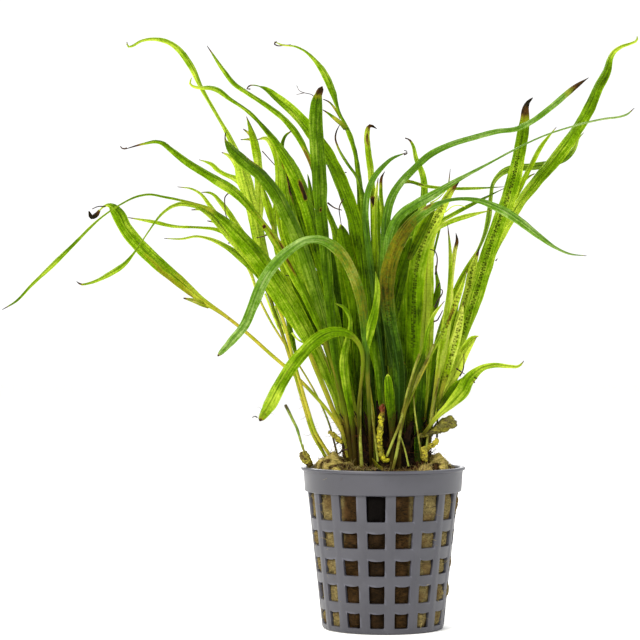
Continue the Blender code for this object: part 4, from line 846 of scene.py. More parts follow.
LOBES: tuple[Lobe, ...] = (
    Lobe("lobe_left_05_fork", "left_05", Look(G, (0.2, 0.45, 0.55), 2), ((-12.2, 164, 1.8), (-13.6, 165.6, 1.6),
        (-15.4, 167, 1.5), (-17.6, 168.8, 0.9), (-19.8, 170.2, 0.3))),
    Lobe("lobe_left_05_thin", "left_05", Look(G, (0.1, 0.35, 0.45), 3), ((-13.9, 167.4, 0.9), (-15.8, 170.5, 0.8),
        (-17.6, 172.7, 0.6), (-19.7, 173.7, 0.25))),
    Lobe("lobe_left_20_upper", "left_20", Look(D, (0.25, 0.5, 0.6), 1.5), ((-43, 161.2, 1.4), (-44.2, 162.6, 1.1),
        (-45.9, 163.9, 0.4))),
    Lobe("lobe_left_20_lower", "left_20", Look(P, (0.15, 0.4, 0.5), 1), ((-42, 160, 1.6), (-43.8, 160.5, 1),
        (-46.8, 160.4, 0.3))),
    Lobe("lobe_left_10", "left_10", Look(O, (0.25, 0.5, 0.6), 1), ((-57.2, 105.6, 1.6), (-59.2, 106.4, 1.9),
        (-62.2, 107.5, 1.5), (-65.6, 108.3, 0.4)), (0, -3)),
    Lobe("scrap_left_10", "left_10", Look(O, (-0.15, 0.1, 0.2), 9), ((-93.2, 137.2, 0.8), (-94.4, 135.6, 1.7),
        (-95.6, 135, 1.8), (-96.7, 136.9, 0.4)), (0.5, 1)),
    Lobe("lobe_left_18_tip", "left_01", Look(P, (0.5, 0.75, 0.85), 1), ((-46.6, 149, 2.2), (-47.6, 151.4, 2.4),
        (-49.2, 154, 2), (-50.8, 155.3, 1.3), (-53, 156.2, 0.3)), (3, 8)),
    Lobe("lobe_left_13_upper", "left_13", Look(G, (0.25, 0.5, 0.6), 1.5), ((-44.6, 123.6, 2.4), (-46.4, 125.8, 1.8),
        (-48.2, 126.5, 1.1), (-51, 126.4, 0.3)), (1, -4)),
    Lobe("tooth_left_12_a", "left_12", Look(P, (0.15, 0.4, 0.5), 1.5), ((-50.6, 131, 1.2), (-54.2, 133, 1),
        (-57.8, 133.7, 0.3)), (1, 3)),
    Lobe("tooth_left_12_b", "left_16", Look(P, (0.2, 0.45, 0.55), 1.5), ((-55.8, 136.4, 1), (-59.4, 137.4, 0.8),
        (-63, 137.3, 0.3)), (1, 3)),
    Lobe("lobe_right_11", "right_11", Look(P, (0.15, 0.4, 0.5), 1), ((44, 142.6, 1.4), (45.3, 145.2, 1.3),
        (47.2, 147.7, 1), (49.8, 149.2, 0.3)), (1.5, 3)),
    Lobe("lobe_right_06", "right_06", Look(G, (0.05, 0.3, 0.4), 0.8), ((18.2, 71.8, 0.8), (19.6, 73.8, 1.8),
        (21.6, 76.4, 2.6), (24.2, 79.6, 2.4), (26.9, 82.5, 0.4)), (2.2, 1)),
    Lobe("lobe_left_08_side", "left_08", Look(P, (0.15, 0.4, 0.5), 1), ((-33.2, 124, 1.2), (-36.6, 129.8, 0.8),
        (-39.6, 128.6, 0.5), (-41.6, 128.1, 0.2)), (2, 3)),
    Lobe("lobe_right_16_side", "right_16", Look(G, (-0.05, 0.2, 0.3), 1.5), ((3.6, 143.8, 0.8), (7.5, 146.7, 1.2),
        (10.2, 146.2, 1), (13.2, 145.4, 0.3)), (-1, -2)),
    Lobe("blade_centre_blunt", "", Look(D, (-0.1, 0.05, 0.15), 0.5, fold=0.1, stalk=0), ((5.2, 56, 2), (5.4, 66, 4),
        (5.3, 74, 5.2), (5.2, 82, 5.2), (5.9, 86.6, 3.8), (6.6, 87.8, 0.8)), (-8, -3), 8),
    shaded_leaf(1, G, (-0.1, 0.2, 0.4), ((-7.2, 57, 1.6), (-7.3, 65, 2.2), (-7.9, 76, 2.8), (-8.1, 86, 3),
        (-8.5, 96, 3.6), (-9.2, 106, 4.2), (-10.8, 117, 5.2), (-12.4, 126, 4.8), (-13.4, 130.6, 3),
        (-14, 132.6, 0.5)), (4, 5)),
    shaded_leaf(2, D, (-0.1, 0.1, 0.3), ((-10.5, 58, 1.6), (-12.5, 80, 2.6), (-14.2, 95, 3.2), (-15.3, 108, 3.4),
        (-16.4, 118, 3), (-16.9, 123, 1.3), (-17, 124.6, 0.3)), (3, 2)),
    shaded_leaf(3, D, (-0.2, 0, 0.2), ((-1.6, 56, 1.6), (-2.2, 66, 2.6), (-3.1, 76, 2.8), (-3.7, 86, 2.6),
        (-4.2, 94, 0.6)), (5, 4)),
    shaded_leaf(4, D, (-0.2, 0, 0.2), ((1.6, 56, 1.6), (1.7, 76, 2.8), (1.1, 86, 3), (0.1, 96, 2.8), (-0.9, 104, 1.8),
        (-1.6, 110, 0.4)), (6, 7)),
    shaded_leaf(5, G, (0, 0.3, 0.5), ((15, 60, 1.6), (16.2, 74, 2.4), (17, 84, 2.6), (17.6, 92, 1.8),
        (17.9, 97, 0.4)), (0, 1)),
    shaded_leaf(6, G, (0.3, 0.4, 0.5), ((16.9, 103, 1), (17.7, 108, 2.4), (18.2, 112, 1.8), (17.6, 116, 0.9),
        (17.2, 119, 0.3)), (2, 1)),
    shaded_leaf(7, G, (0.3, 0.45, 0.6), ((21.8, 90, 1), (22.8, 98, 1.5), (24, 104, 1.2), (25, 108, 0.3)), (3, 1)),
    shaded_leaf(8, P, (0.3, 0.45, 0.5), ((21.6, 102, 1.2), (24.2, 111.5, 1.8), (27.6, 118, 1.6), (30.6, 123.6, 0.4)),
        (6, 2)),
    Lobe("shaded_leaf_09", "", Look(G, (0.1, 0.3, 0.4), 1, mottle=0.5, mottled=(0, 1), stalk=0), ((8.6, 121, 1.6),
        (11.5, 127, 2.8), (13.8, 132, 3), (15.8, 136, 1.8), (17.4, 138.4, 0.4)), (-18, -3)),
    shaded_leaf(10, G, (0.1, 0.3, 0.3), ((-19.5, 93, 1.4), (-22, 98, 1.8), (-25.5, 105, 1.8), (-29, 112, 1.3),
        (-30.8, 115.4, 0.3)), (2, 1)),
    Lobe("shaded_leaf_11", "", Look(G, (0.1, 0.3, 0.4), 1, stalk=0), ((-22.5, 118, 1.2), (-24.3, 124, 2),
        (-26.4, 131, 2.6), (-28.5, 138, 2.6), (-30, 144, 2), (-30.9, 150, 0.6)), (14, 3)),
    shaded_leaf(12, P, (0.3, 0.4, 0.4), ((-31.8, 122, 0.9), (-33, 128, 1.6), (-34.4, 134, 1.3), (-34.9, 138, 0.3)),
        (16, 3)),
    shaded_leaf(13, P, (0.3, 0.4, 0.4), ((-35.8, 131, 1.2), (-37.3, 137, 2.6), (-38.9, 142, 2), (-39.8, 145.6, 0.4)),
        (20, 3)),
    shaded_leaf(14, G, (0.2, 0.3, 0.3), ((-22.8, 134, 0.9), (-23.4, 140, 1.6), (-24.3, 146.6, 0.9),
        (-24.8, 149, 0.3)), (8, 2)),
    Lobe("bare_stalk_left", "", Look(O, (0.5, 0.4, 0.4), 0, stalk=1), ((-11.6, 56, 1.2), (-12.6, 61, 1.3),
        (-13.9, 66, 1.4), (-16, 70.4, 1.5), (-18.2, 76, 1.6), (-20.7, 82, 1.7), (-23, 87.4, 1.6), (-25, 92, 1.2)),
        (-7, -2)),
    shaded_leaf(16, G, (0.3, 0.4, 0.5), ((-28.6, 89.5, 1), (-29.8, 95, 1.8), (-31.2, 100.5, 1.3),
        (-32.1, 103.4, 0.3)), (1, 1)),
    shaded_leaf(17, G, (0.2, 0.3, 0.4), ((-0.9, 106, 1.2), (-1, 116, 1.5), (-1.35, 128, 1.3), (-1.4, 136, 1.1),
        (-1.6, 142, 0.3)), (16, 3)),
    shaded_leaf(19, D, (0, 0.2, 0.3), ((-13.8, 90, 1.6), (-17.4, 99, 2.6), (-20, 107, 2.8), (-22, 115, 2.2),
        (-23.4, 120.6, 0.4)), (7, 5)),
    shaded_leaf(20, G, (0, 0.2, 0.3), ((1.9, 86, 2), (2.8, 98, 3.8), (4.2, 108, 4.8), (6.2, 117, 4.8),
        (8.2, 124, 3.2), (9.4, 128.6, 0.5)), (-6, -6)),
    shaded_leaf(21, D, (0, 0.2, 0.3), ((1.4, 112, 2), (3.4, 122, 3.2), (6.4, 131, 3.8), (9.4, 136, 2.6),
        (12.2, 139.2, 0.4)), (-10, -6)),
    shaded_leaf(18, P, (0.4, 0.5, 0.6), ((25.4, 90.6, 0.8), (28, 93.8, 1.8), (30, 95.5, 1.2), (31.4, 95.8, 0.3)),
        (-12, -1)),
    shaded_leaf(22, D, (-0.3, -0.1, 0.1), ((-6, 54, 2.2), (-6.4, 64, 2.8), (-6.2, 74, 2.6), (-6, 82, 0.4)), (7, 1),
        4),
    shaded_leaf(23, D, (-0.3, -0.1, 0.1), ((7.2, 54, 2.2), (7.4, 64, 2.8), (7.6, 74, 2.8), (7.8, 84, 0.4)), (7, 1),
        4),
    shaded_leaf(24, D, (-0.3, -0.1, 0.1), ((10, 54, 2.2), (10.4, 64, 3), (10.8, 74, 3), (11.2, 86, 0.4)), (5, 1), 4),
    shaded_leaf(25, D, (-0.1, 0.1, 0.2), ((11.4, 54.5, 1.8), (11.7, 62, 2.8), (12.2, 72, 3.4), (12.8, 82, 2.8),
        (13.6, 92, 0.5)), (-8.5, 1), 12),
    shaded_leaf(26, D, (-0.1, 0.1, 0.2), ((13.8, 57, 1.6), (14.7, 64, 2.4), (15.8, 72, 2.8), (16.6, 80, 2.2),
        (17.6, 88, 0.5)), (-6.5, 1), -12),
    Lobe("strap_centre", "centre_02", Look(O, (0.1, 0, 0.1), 0.5, fold=0.05, stalk=0), ((-3.6, 55.6, 0.4),
        (-2.4, 54, 1), (-1.2, 52.7, 1.1), (0.2, 52, 0.5)), (-1.5, -1), 10),
    Lobe("shaded_leaf_27", "", Look(D, (0, 0.35, 0.45), 0, stalk=0.2), ((-3, 56, 1.2), (-4.6, 80, 2.2),
        (-6.8, 104, 3), (-8.2, 116, 3), (-9.6, 126, 2.4), (-10.8, 132, 1.4), (-11.8, 136.5, 0.3)), (9, 4), 4),
)


@dataclass
class Foliage:
    """All the leaves: one piece for each leaf's solid, then the lobes and small leaves.

    Attributes:
        blade: what lofts them.
        materials: the tissue of each kind, once made.
        spines: each leaf's midrib, by its short name.
    """

    blade: Blade = field(default_factory=Blade)
    materials: dict[LeafKind, bpy.types.Material] = field(default_factory=dict)
    spines: dict[str, Spine] = field(default_factory=dict)

    def tissue(self, kind: LeafKind) -> bpy.types.Material:
        """Return the material of a kind of leaf, made once."""
        if kind not in self.materials:
            self.materials[kind] = TISSUES[kind].material()
        return self.materials[kind]

    def build(self, nodes: dict[str, bpy.types.Object]) -> list[bpy.types.Object]:
        """Build every leaf.

        Args:
            nodes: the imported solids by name.

        Returns:
            The pieces.
        """
        made = []
        for number, (short, look) in enumerate(LOOKS.items()):
            node = "leaf_" + short
            spine = Spine.from_solid(nodes[node])
            self.spines[short] = spine
            own = [patch for patch in PATCHES if patch.leaf == short]
            piece = self.blade.mesh("blade_" + short, spine, look, own, number + 1.0, look.scaly)
            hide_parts(node)
            made.append(self.dress(piece, look))
        for number, lobe in enumerate(LOBES):
            made.append(self.lobe(lobe, 70.0 + number))
        return made

    def lobe(self, lobe: Lobe, seed: float) -> bpy.types.Object:
        """Build one small form that starts at its parent's depth."""
        across, up, _ = lobe.route[0]
        start = lobe.lead[0] + (self.spines[lobe.parent].depth_near(across, up) if lobe.parent else 0.0)
        spine = Spine.from_route(lobe.route, (start, start + lobe.lead[1]), lobe.turn)
        piece = self.blade.mesh(lobe.name, spine, lobe.look, (), seed)
        return self.dress(piece, lobe.look)

    def dress(self, piece: bpy.types.Object, look: Look) -> bpy.types.Object:
        """Give a leaf its tissue and its place on the plant."""
        piece.data.materials.append(self.tissue(look.kind))
        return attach(piece, BODY)


def settle(item: bpy.types.Object) -> bpy.types.Object:
    """Turn an object and its modifiers into a plain mesh object, at the origin, with the same name.

    Args:
        item: a mesh or curve object. It is removed.

    Returns:
        The plain object.
    """
    graph = bpy.context.evaluated_depsgraph_get()
    made = bpy.data.meshes.new_from_object(item.evaluated_get(graph), depsgraph=graph)
    name = item.name
    bpy.data.objects.remove(item, do_unlink=True)
    return new_object(name, made)


def add_mesh(name: str, points: Any, faces: Sequence[Sequence[int]]) -> bpy.types.Object:
    """Make a mesh object of points in mm.

    Args:
        name: the piece's name.
        points: one row of x, y and z each.
        faces: the corners of each face.

    Returns:
        The object, in metres.
    """
    made = bpy.data.meshes.new(name)
    made.from_pydata((np.asarray(points, dtype=float) * MM).tolist(), [], faces)
    made.update()
    return new_object(name, made)


def join(name: str, parts: Sequence[bpy.types.Object]) -> bpy.types.Object:
    """Join plain mesh objects into one.

    Args:
        name: the new piece's name.
        parts: what is joined. They are removed.

    Returns:
        The joined object, with the first part's material.
    """
    cage = bmesh.new()
    finish = parts[0].data.materials[0] if parts[0].data.materials else None
    for part in parts:
        cage.from_mesh(part.data)
        bpy.data.objects.remove(part, do_unlink=True)
    for face in cage.faces:
        face.material_index = 0
    made = bpy.data.meshes.new(name)
    cage.to_mesh(made)
    cage.free()
    if finish:
        made.materials.append(finish)
    return new_object(name, made)


def fine_copy(node: bpy.types.Object, name: str, cuts: int) -> bpy.types.Object:
    """Copy a solid, merge its loose triangles and round it off with more faces.

    Args:
        node: the CAD node, which is only read.
        name: the new piece's name.
        cuts: subdivision levels.

    Returns:
        The plain object.
    """
    cage = bmesh.new()
    cage.from_mesh(node.data)
    bmesh.ops.remove_doubles(cage, verts=cage.verts, dist=0.002 * MM)
    bmesh.ops.join_triangles(cage, faces=cage.faces, angle_face_threshold=math.radians(25),
                             angle_shape_threshold=math.radians(60))
    made = bpy.data.meshes.new(name)
    cage.to_mesh(made)
    cage.free()
    made.materials.clear()
    made.shade_smooth()
    item = new_object(name, made)
    rounding = item.modifiers.new("rounding", "SUBSURF")
    rounding.levels = rounding.render_levels = cuts
    return settle(item)


@dataclass(frozen=True)
class Waves:
    """Uneven relief: how wide and how high its lumps are, in mm, and which pattern."""

    size: float
    height: float
    seed: float = 0.0
    ridged: bool = False

    def at(self, place: Vector) -> float:
        """Return the relief's height at a place in mm."""
        value = noise.noise(place / self.size + Vector((self.seed, 3.1 * self.seed, -self.seed)))
        return self.height * (1.0 - 3.0 * abs(value) if self.ridged else 1.6 * value)


def roughen(item: bpy.types.Object, waves: Sequence[Waves], swell: Sequence[float] = (0.0, 0.0)) -> None:
    """Push a mesh's points in and out along their normals.

    Args:
        item: the piece.
        waves: the reliefs that are added up.
        swell: what is added at its left and right ends, in mm.
    """
    places, normals = read_points(item.data).astype(float), read_points(item.data, "normal")
    heights = np.array([sum(wave.at(Vector(place)) for wave in waves) for place in places / MM])
    heights += np.interp(places[:, 0], (places[:, 0].min(), places[:, 0].max()), swell)
    places += normals * (heights * MM)[:, None]
    item.data.vertices.foreach_set("co", places.astype(np.float32).reshape(-1))
    item.data.update()


class NodeTool:
    """A Geometry Nodes tree with named inputs, used through a modifier and then made plain.

    Attributes:
        name: the tree's name.
        inputs: each input's name and socket type.
    """

    name = "tool"
    inputs: tuple[tuple[str, str], ...] = ()

    def tree(self) -> bpy.types.NodeTree:
        """Return the tree, made once."""
        known = bpy.data.node_groups.get(self.name)
        if known:
            return known
        tree = bpy.data.node_groups.new(self.name, "GeometryNodeTree")
        tree.interface.new_socket("Geometry", in_out="INPUT", socket_type="NodeSocketGeometry")
        for label, kind in self.inputs + (("Finish", "NodeSocketMaterial"),):
            tree.interface.new_socket(label, in_out="INPUT", socket_type=kind)
        tree.interface.new_socket("Geometry", in_out="OUTPUT", socket_type="NodeSocketGeometry")
        entry = add_node(tree, "NodeGroupInput").outputs
        shape = self.grow(tree, entry)
        shape = add_node(tree, "GeometryNodeRealizeInstances", {"Geometry": shape})
        shape = add_node(tree, "GeometryNodeSetMaterial", {"Geometry": shape, "Material": entry["Finish"]})
        add_node(tree, "NodeGroupOutput", {"Geometry": shape})
        return tree

    def grow(self, tree: bpy.types.NodeTree, entry: Any) -> Any:
        """Add the nodes between the inputs and the realized result, and return the last one."""
        raise NotImplementedError

    def apply(self, item: bpy.types.Object, finish: bpy.types.Material, **values: Any) -> bpy.types.Object:
        """Run the tree on an object and return the plain result.

        Args:
            item: what the tree works on. It is removed.
            finish: the result's material.
            **values: the inputs by name, with _ for a space.

        Returns:
            The plain mesh object, with the same name.
        """
        tree = self.tree()
        modifier = item.modifiers.new(self.name, "NODES")
        modifier.node_group = tree
        values = {key.replace("_", " "): value for key, value in values.items()}
        values["Finish"] = finish
        for socket in tree.interface.items_tree:
            if socket.in_out == "INPUT" and socket.name in values:
                modifier[socket.identifier] = values[socket.name]
        plain = settle(item)
        plain.data.materials.clear()
        plain.data.materials.append(finish)
        plain.data.polygons.foreach_set("material_index", np.zeros(len(plain.data.polygons), np.int32))
        return plain


class RingOfCopies(NodeTool):
    """Sets copies of a panel round the pot's axis and welds them."""

    name = "ring_of_copies"
    inputs = (("Count", "NodeSocketInt"), ("First Turn", "NodeSocketFloat"), ("Weld", "NodeSocketFloat"))

    def grow(self, tree: bpy.types.NodeTree, entry: Any) -> Any:
        """Add the ring: points on the axis, each turned by its number."""
        add = partial(add_node, tree)
        points = add("GeometryNodeMeshLine", {"Count": entry["Count"], "Offset": (0.0, 0.0, 0.0)})
        pitch = add(MATH, {0: math.tau, 1: entry["Count"]}, operation="DIVIDE")
        turn = add(MATH, {0: add("GeometryNodeInputIndex"), 1: pitch, 2: entry["First Turn"]},
                   **TIMES_PLUS)
        turned = add("FunctionNodeEulerToRotation", {0: add(VECTOR, {2: turn})})
        copies = add("GeometryNodeInstanceOnPoints", {"Points": points, "Instance": entry["Geometry"],
                     "Rotation": turned})
        whole = add("GeometryNodeRealizeInstances", {"Geometry": copies})
        return add("GeometryNodeMergeByDistance", {"Geometry": whole, "Distance": entry["Weld"]})


class RoundThreads(NodeTool):
    """Gives each curve a round body whose radius is the curve's own."""

    name = "round_threads"
    inputs = (("Sides", "NodeSocketInt"),)

    def grow(self, tree: bpy.types.NodeTree, entry: Any) -> Any:
        """Add the round body."""
        add = partial(add_node, tree)
        ring = add("GeometryNodeCurvePrimitiveCircle", {"Resolution": entry["Sides"], "Radius": MM})
        body = add("GeometryNodeCurveToMesh", {"Curve": entry["Geometry"], "Profile Curve": ring,
                   "Scale": add("GeometryNodeInputRadius"), "Fill Caps": True})
        return add("GeometryNodeSetShadeSmooth", {"Geometry": body})


class Scatter(NodeTool):
    """Scatters bent hairs over a surface, more where its growth attribute is high."""

    name = "scattered_hairs"
    inputs = (("Density", "NodeSocketFloat"), ("Length", "NodeSocketFloat"), ("Bend", "NodeSocketFloat"),
              ("Thickness", "NodeSocketFloat"), ("Lean", "NodeSocketFloat"), ("Shortest", "NodeSocketFloat"),
              ("Seed", "NodeSocketInt"))

    def grow(self, tree: bpy.types.NodeTree, entry: Any) -> Any:
        """Add the points, the hair, its random turn and size, and the copies."""
        add = partial(add_node, tree)
        growth = add("GeometryNodeInputNamedAttribute", {"Name": "growth"}, data_type="FLOAT")
        density = add(MATH, {0: growth, 1: entry["Density"]}, **TIMES)
        spots = add("GeometryNodeDistributePointsOnFaces", {"Mesh": entry["Geometry"], "Density": density,
                    "Seed": entry["Seed"]}, distribute_method="RANDOM")
        half = add(MATH, {0: entry["Length"], 1: 0.5}, **TIMES)
        middle = add(VECTOR, {0: entry["Bend"], 2: half})
        sag = add(MATH, {0: entry["Bend"], 1: -0.6}, **TIMES)
        end = add(VECTOR, {0: sag, 1: entry["Bend"], 2: entry["Length"]})
        path = add("GeometryNodeCurveQuadraticBezier", {"Resolution": 4, "Start": (0.0, 0.0, 0.0),
                   "Middle": middle, "End": end})
        ring = add("GeometryNodeCurvePrimitiveCircle", {"Resolution": 3, "Radius": entry["Thickness"]})
        along = add("GeometryNodeSplineParameter")
        taper = add(RANGE, {0: along, 3: 1.0, 4: 0.35})
        hair = add("GeometryNodeCurveToMesh", {"Curve": path, "Profile Curve": ring, "Scale": taper,
                   "Fill Caps": True})
        hair = add("GeometryNodeSetShadeSmooth", {"Geometry": hair})
        less = add(MATH, {0: entry["Lean"], 1: -1.0}, **TIMES)
        low = add(VECTOR, {0: less, 1: less, 2: 0.0})
        high = add(VECTOR, {0: entry["Lean"], 1: entry["Lean"], 2: math.tau})
        tilt = add("FunctionNodeRandomValue", {"Min": low, "Max": high, "Seed": entry["Seed"]},
                   data_type="FLOAT_VECTOR")
        turn = add("FunctionNodeRotateRotation", {"Rotation": spots.outputs["Rotation"],
                   "Rotate By": add("FunctionNodeEulerToRotation", {0: tilt})}, rotation_space="LOCAL")
        size = add("FunctionNodeRandomValue", {2: entry["Shortest"], 3: 1.0, "Seed": entry["Seed"]},
                   data_type="FLOAT")
        return add("GeometryNodeInstanceOnPoints", {"Points": spots, "Instance": hair, "Rotation": turn,
                   "Scale": size})


@dataclass(frozen=True)
class MouldedPlastic:
    """Moulded polypropylene: satin grey, with a faint flow pattern and specks of dust.

    The eye gets a soft, slightly uneven sheen, with a painted highlight that makes its sharp edges a little lighter.
    """

    deep: str = "#303037"
    bright: str = "#38383F"
    worn: str = "#4E4E58"

    def material(self) -> bpy.types.Material:
        """Build the plastic."""
        made, add, place = new_material("moulded_grey_polypropylene")
        flow = add(NOISE, {"Vector": place, "Scale": per_mm(11.0), "Detail": 3.0, "Distortion": 0.6})
        # Moulding grain, 0.35 mm, drawn a little coarser than the real one so that it shows
        grain = add(NOISE, {"Vector": place, "Scale": per_mm(0.35), "Detail": 2.0})
        spread = add(RANGE, {0: flow, 1: 0.3, 2: 0.7}, **SMOOTH)
        # Painted highlight: sharp edges are made lighter
        edge = add(RANGE, {0: add("ShaderNodeNewGeometry").outputs["Pointiness"], 1: 0.52, 2: 0.6, 4: 0.5})
        specks = add(NOISE, {"Vector": place, "Scale": per_mm(1.4), "Detail": 4.0, "Roughness": 0.7})
        specks = add(RANGE, {0: specks, 1: 0.7, 2: 0.78, 4: 0.35})
        colour: Any = self.deep
        for mask, tint in ((spread, self.bright), (edge, self.worn), (specks, "#4A443E")):
            colour = add(MIX, {0: mask, 6: colour, 7: tint}, **COLOURS)
        sheen = add(RANGE, {0: flow, 1: 0.3, 2: 0.7, 3: 0.36, 4: 0.5})
        bump = add(BUMP, {"Strength": 0.25, "Distance": 0.05 * MM, "Height": grain})
        shader = add(SKIN, {"Base Color": colour, "Roughness": sheen, "IOR": 1.49,
                     "Normal": bump})
        add("ShaderNodeOutputMaterial", {"Surface": shader})
        return made


@dataclass(frozen=True)
class FibreBlock:
    """Mineral wool: a dull yellow-beige felt of fine fibres, mossy in places, with painted shade in dark brown and
    black.

    Attributes:
        felt: colour of the clean fibres.
        shade: colour between the fibres.
        moss: colour of the moss film.
    """

    felt: str = "#7C6E44"
    shade: str = "#3A3222"
    moss: str = "#66621E"

    def material(self) -> bpy.types.Material:
        """Build the felt. The mesh says where shade is painted and where moss grows."""
        made, add, place = new_material("mineral_wool_felt")
        stain = add("ShaderNodeAttribute", attribute_name="stain").outputs["Fac"]
        moss = add("ShaderNodeAttribute", attribute_name="moss").outputs["Fac"]
        # Fibres lie mostly flat: the pattern is drawn out sideways, 0.25 mm thick and 2 mm long
        drawn = add("ShaderNodeMapping", {"Vector": place, "Scale": (1.0, 1.0, 4.5)})
        lay = add(NOISE, {"Vector": drawn, "Scale": per_mm(1.3), "Detail": 5.0, "Roughness": 0.75,
                  "Distortion": 1.2})
        lumps = add(NOISE, {"Vector": place, "Scale": per_mm(4.5), "Detail": 3.0})
        light = add(RANGE, {0: lay, 1: 0.36, 2: 0.62}, **SMOOTH)
        warm = add(RANGE, {0: lumps, 1: 0.46, 2: 0.62, 4: 0.7}, **SMOOTH)
        mossy = add(MATH, {0: lumps, 1: 0.9, 2: moss}, **TIMES_PLUS)
        mossy = add(RANGE, {0: mossy, 1: 0.7, 2: 1.1, 4: 0.85}, **SMOOTH)
        # Painted highlight: the felt's top, which the moss value marks, is made pale beige where the fibres are lighter
        lifted = add(MATH, {0: add(RANGE, {0: lay, 1: 0.42, 2: 0.6}), 1: add(RANGE, {0: moss, 2: 0.3})}, **TIMES)
        # Painted shade: the felt darkens to brown and black where the mesh marks shade
        stained = add(MATH, {0: lay, 1: 0.8, 2: stain}, **TIMES_PLUS)
        stained = add(RANGE, {0: stained, 1: 0.65, 2: 1.1}, **SMOOTH)
        # Colour of the painted shade: dark brown, and near black where the shade is deepest
        dark: Any = "#0C0804"
        for mask, tint in ((light, "#34240F"), (add(RANGE, {0: lumps, 1: 0.52, 2: 0.66, 4: 0.6}), "#46321C"),
                           (add(RANGE, {0: stain, 1: 1.0, 2: 1.3}), "#070504")):
            dark = add(MIX, {0: mask, 6: dark, 7: tint}, **COLOURS)
        colour: Any = self.shade
        for mask, tint in ((light, self.felt), (warm, "#4E3C22"), (mossy, self.moss), (lifted, "#B8A45E"),
                           (stained, dark)):
            colour = add(MIX, {0: mask, 6: colour, 7: tint}, **COLOURS)
        bump = add(BUMP, {"Strength": 0.9, "Distance": 0.4 * MM, "Height": lay})
        shader = add(SKIN, {"Base Color": colour, "Roughness": 0.95, "IOR": 1.45,
                     "Specular IOR Level": 0.06, "Normal": bump})
        add("ShaderNodeOutputMaterial", {"Surface": shader})
        return made


@dataclass(frozen=True)
class DryFibre:
    """A fine natural thread: wool fibre, moss or root, uneven in colour and dull.

    Attributes:
        name: the material's name.
        deep: its darker colour.
        bright: its lighter colour.
        roughness: of its skin.
        size: how far apart its colour changes, in mm.
    """

    name: str
    deep: str
    bright: str
    roughness: float = 0.85
    size: float = 2.5

    def material(self) -> bpy.types.Material:
        """Build the thread's skin."""
        made, add, place = new_material(self.name)
        change = add(NOISE, {"Vector": place, "Scale": per_mm(self.size), "Detail": 3.0, "Roughness": 0.65})
        spread = add(RANGE, {0: change, 1: 0.36, 2: 0.64}, **SMOOTH)
        colour = add(MIX, {0: spread, 6: self.deep, 7: self.bright}, **COLOURS)
        fine = add(NOISE, {"Vector": place, "Scale": per_mm(0.4), "Detail": 2.0})
        bump = add(BUMP, {"Strength": 0.4, "Distance": 0.08 * MM, "Height": fine})
        dull = add(RANGE, {0: fine, 3: self.roughness - 0.08, 4: min(1.0, self.roughness + 0.08)})
        shader = add(SKIN, {"Base Color": colour, "Roughness": dull, "IOR": 1.45,
                     "Specular IOR Level": 0.1, "Normal": bump})
        add("ShaderNodeOutputMaterial", {"Surface": shader})
        return made


@dataclass(frozen=True)
class RhizomeSkin:
    """Living rhizome: firm, slightly glossy skin with rings, dark scales and old root marks.

    Attributes:
        name: the material's name.
        young: colour of the clean skin.
        old: colour of the older skin.
        scale: colour of the scales.
        tip: colour above the height where the tip starts.
        tip_from: that height, in mm.
    """

    name: str
    young: str
    old: str
    scale: str = "#2A1A0C"
    tip: str = "#5E2A10"
    tip_from: float = 1000.0

    def material(self) -> bpy.types.Material:
        """Build the skin."""
        made, add, place = new_material(self.name)
        change = add(NOISE, {"Vector": place, "Scale": per_mm(2.2), "Detail": 3.0})
        spread = add(RANGE, {0: change, 1: 0.38, 2: 0.62}, **SMOOTH)
        squashed = add("ShaderNodeVectorMath", {0: place, 1: (1.0, 1.0, 2.2)}, **TIMES).outputs["Vector"]
        marks = add(NOISE, {"Vector": squashed, "Scale": per_mm(0.8), "Detail": 3.0, "Roughness": 0.7})
        patch = add(NOISE, {"Vector": place, "Scale": per_mm(1.6), "Detail": 4.0})
        marks = add(MATH, {0: add(RANGE, {0: marks, 1: 0.5, 2: 0.6}, **SMOOTH),
                           1: add(RANGE, {0: patch, 1: 0.36, 2: 0.56}, **SMOOTH)}, **TIMES)
        height = add("ShaderNodeSeparateXYZ", {0: place}).outputs[2]
        top = add(RANGE, {0: height, 1: self.tip_from * MM, 2: (self.tip_from + 2.0) * MM}, **SMOOTH)
        colour: Any = self.young
        for mask, tint in ((spread, self.old), (marks, self.scale), (top, self.tip)):
            colour = add(MIX, {0: mask, 6: colour, 7: tint}, **COLOURS)
        relief = add(MATH, {0: marks, 1: -0.8, 2: change}, **TIMES_PLUS)
        bump = add(BUMP, {"Strength": 0.5, "Distance": 0.2 * MM, "Height": relief})
        sheen = add(RANGE, {0: change, 3: 0.42, 4: 0.62})
        shader = add(SKIN, {"Base Color": colour, "Roughness": sheen, "IOR": 1.42,
                     "Specular IOR Level": 0.2, "Normal": bump})
        add("ShaderNodeOutputMaterial", {"Surface": shader})
        return made


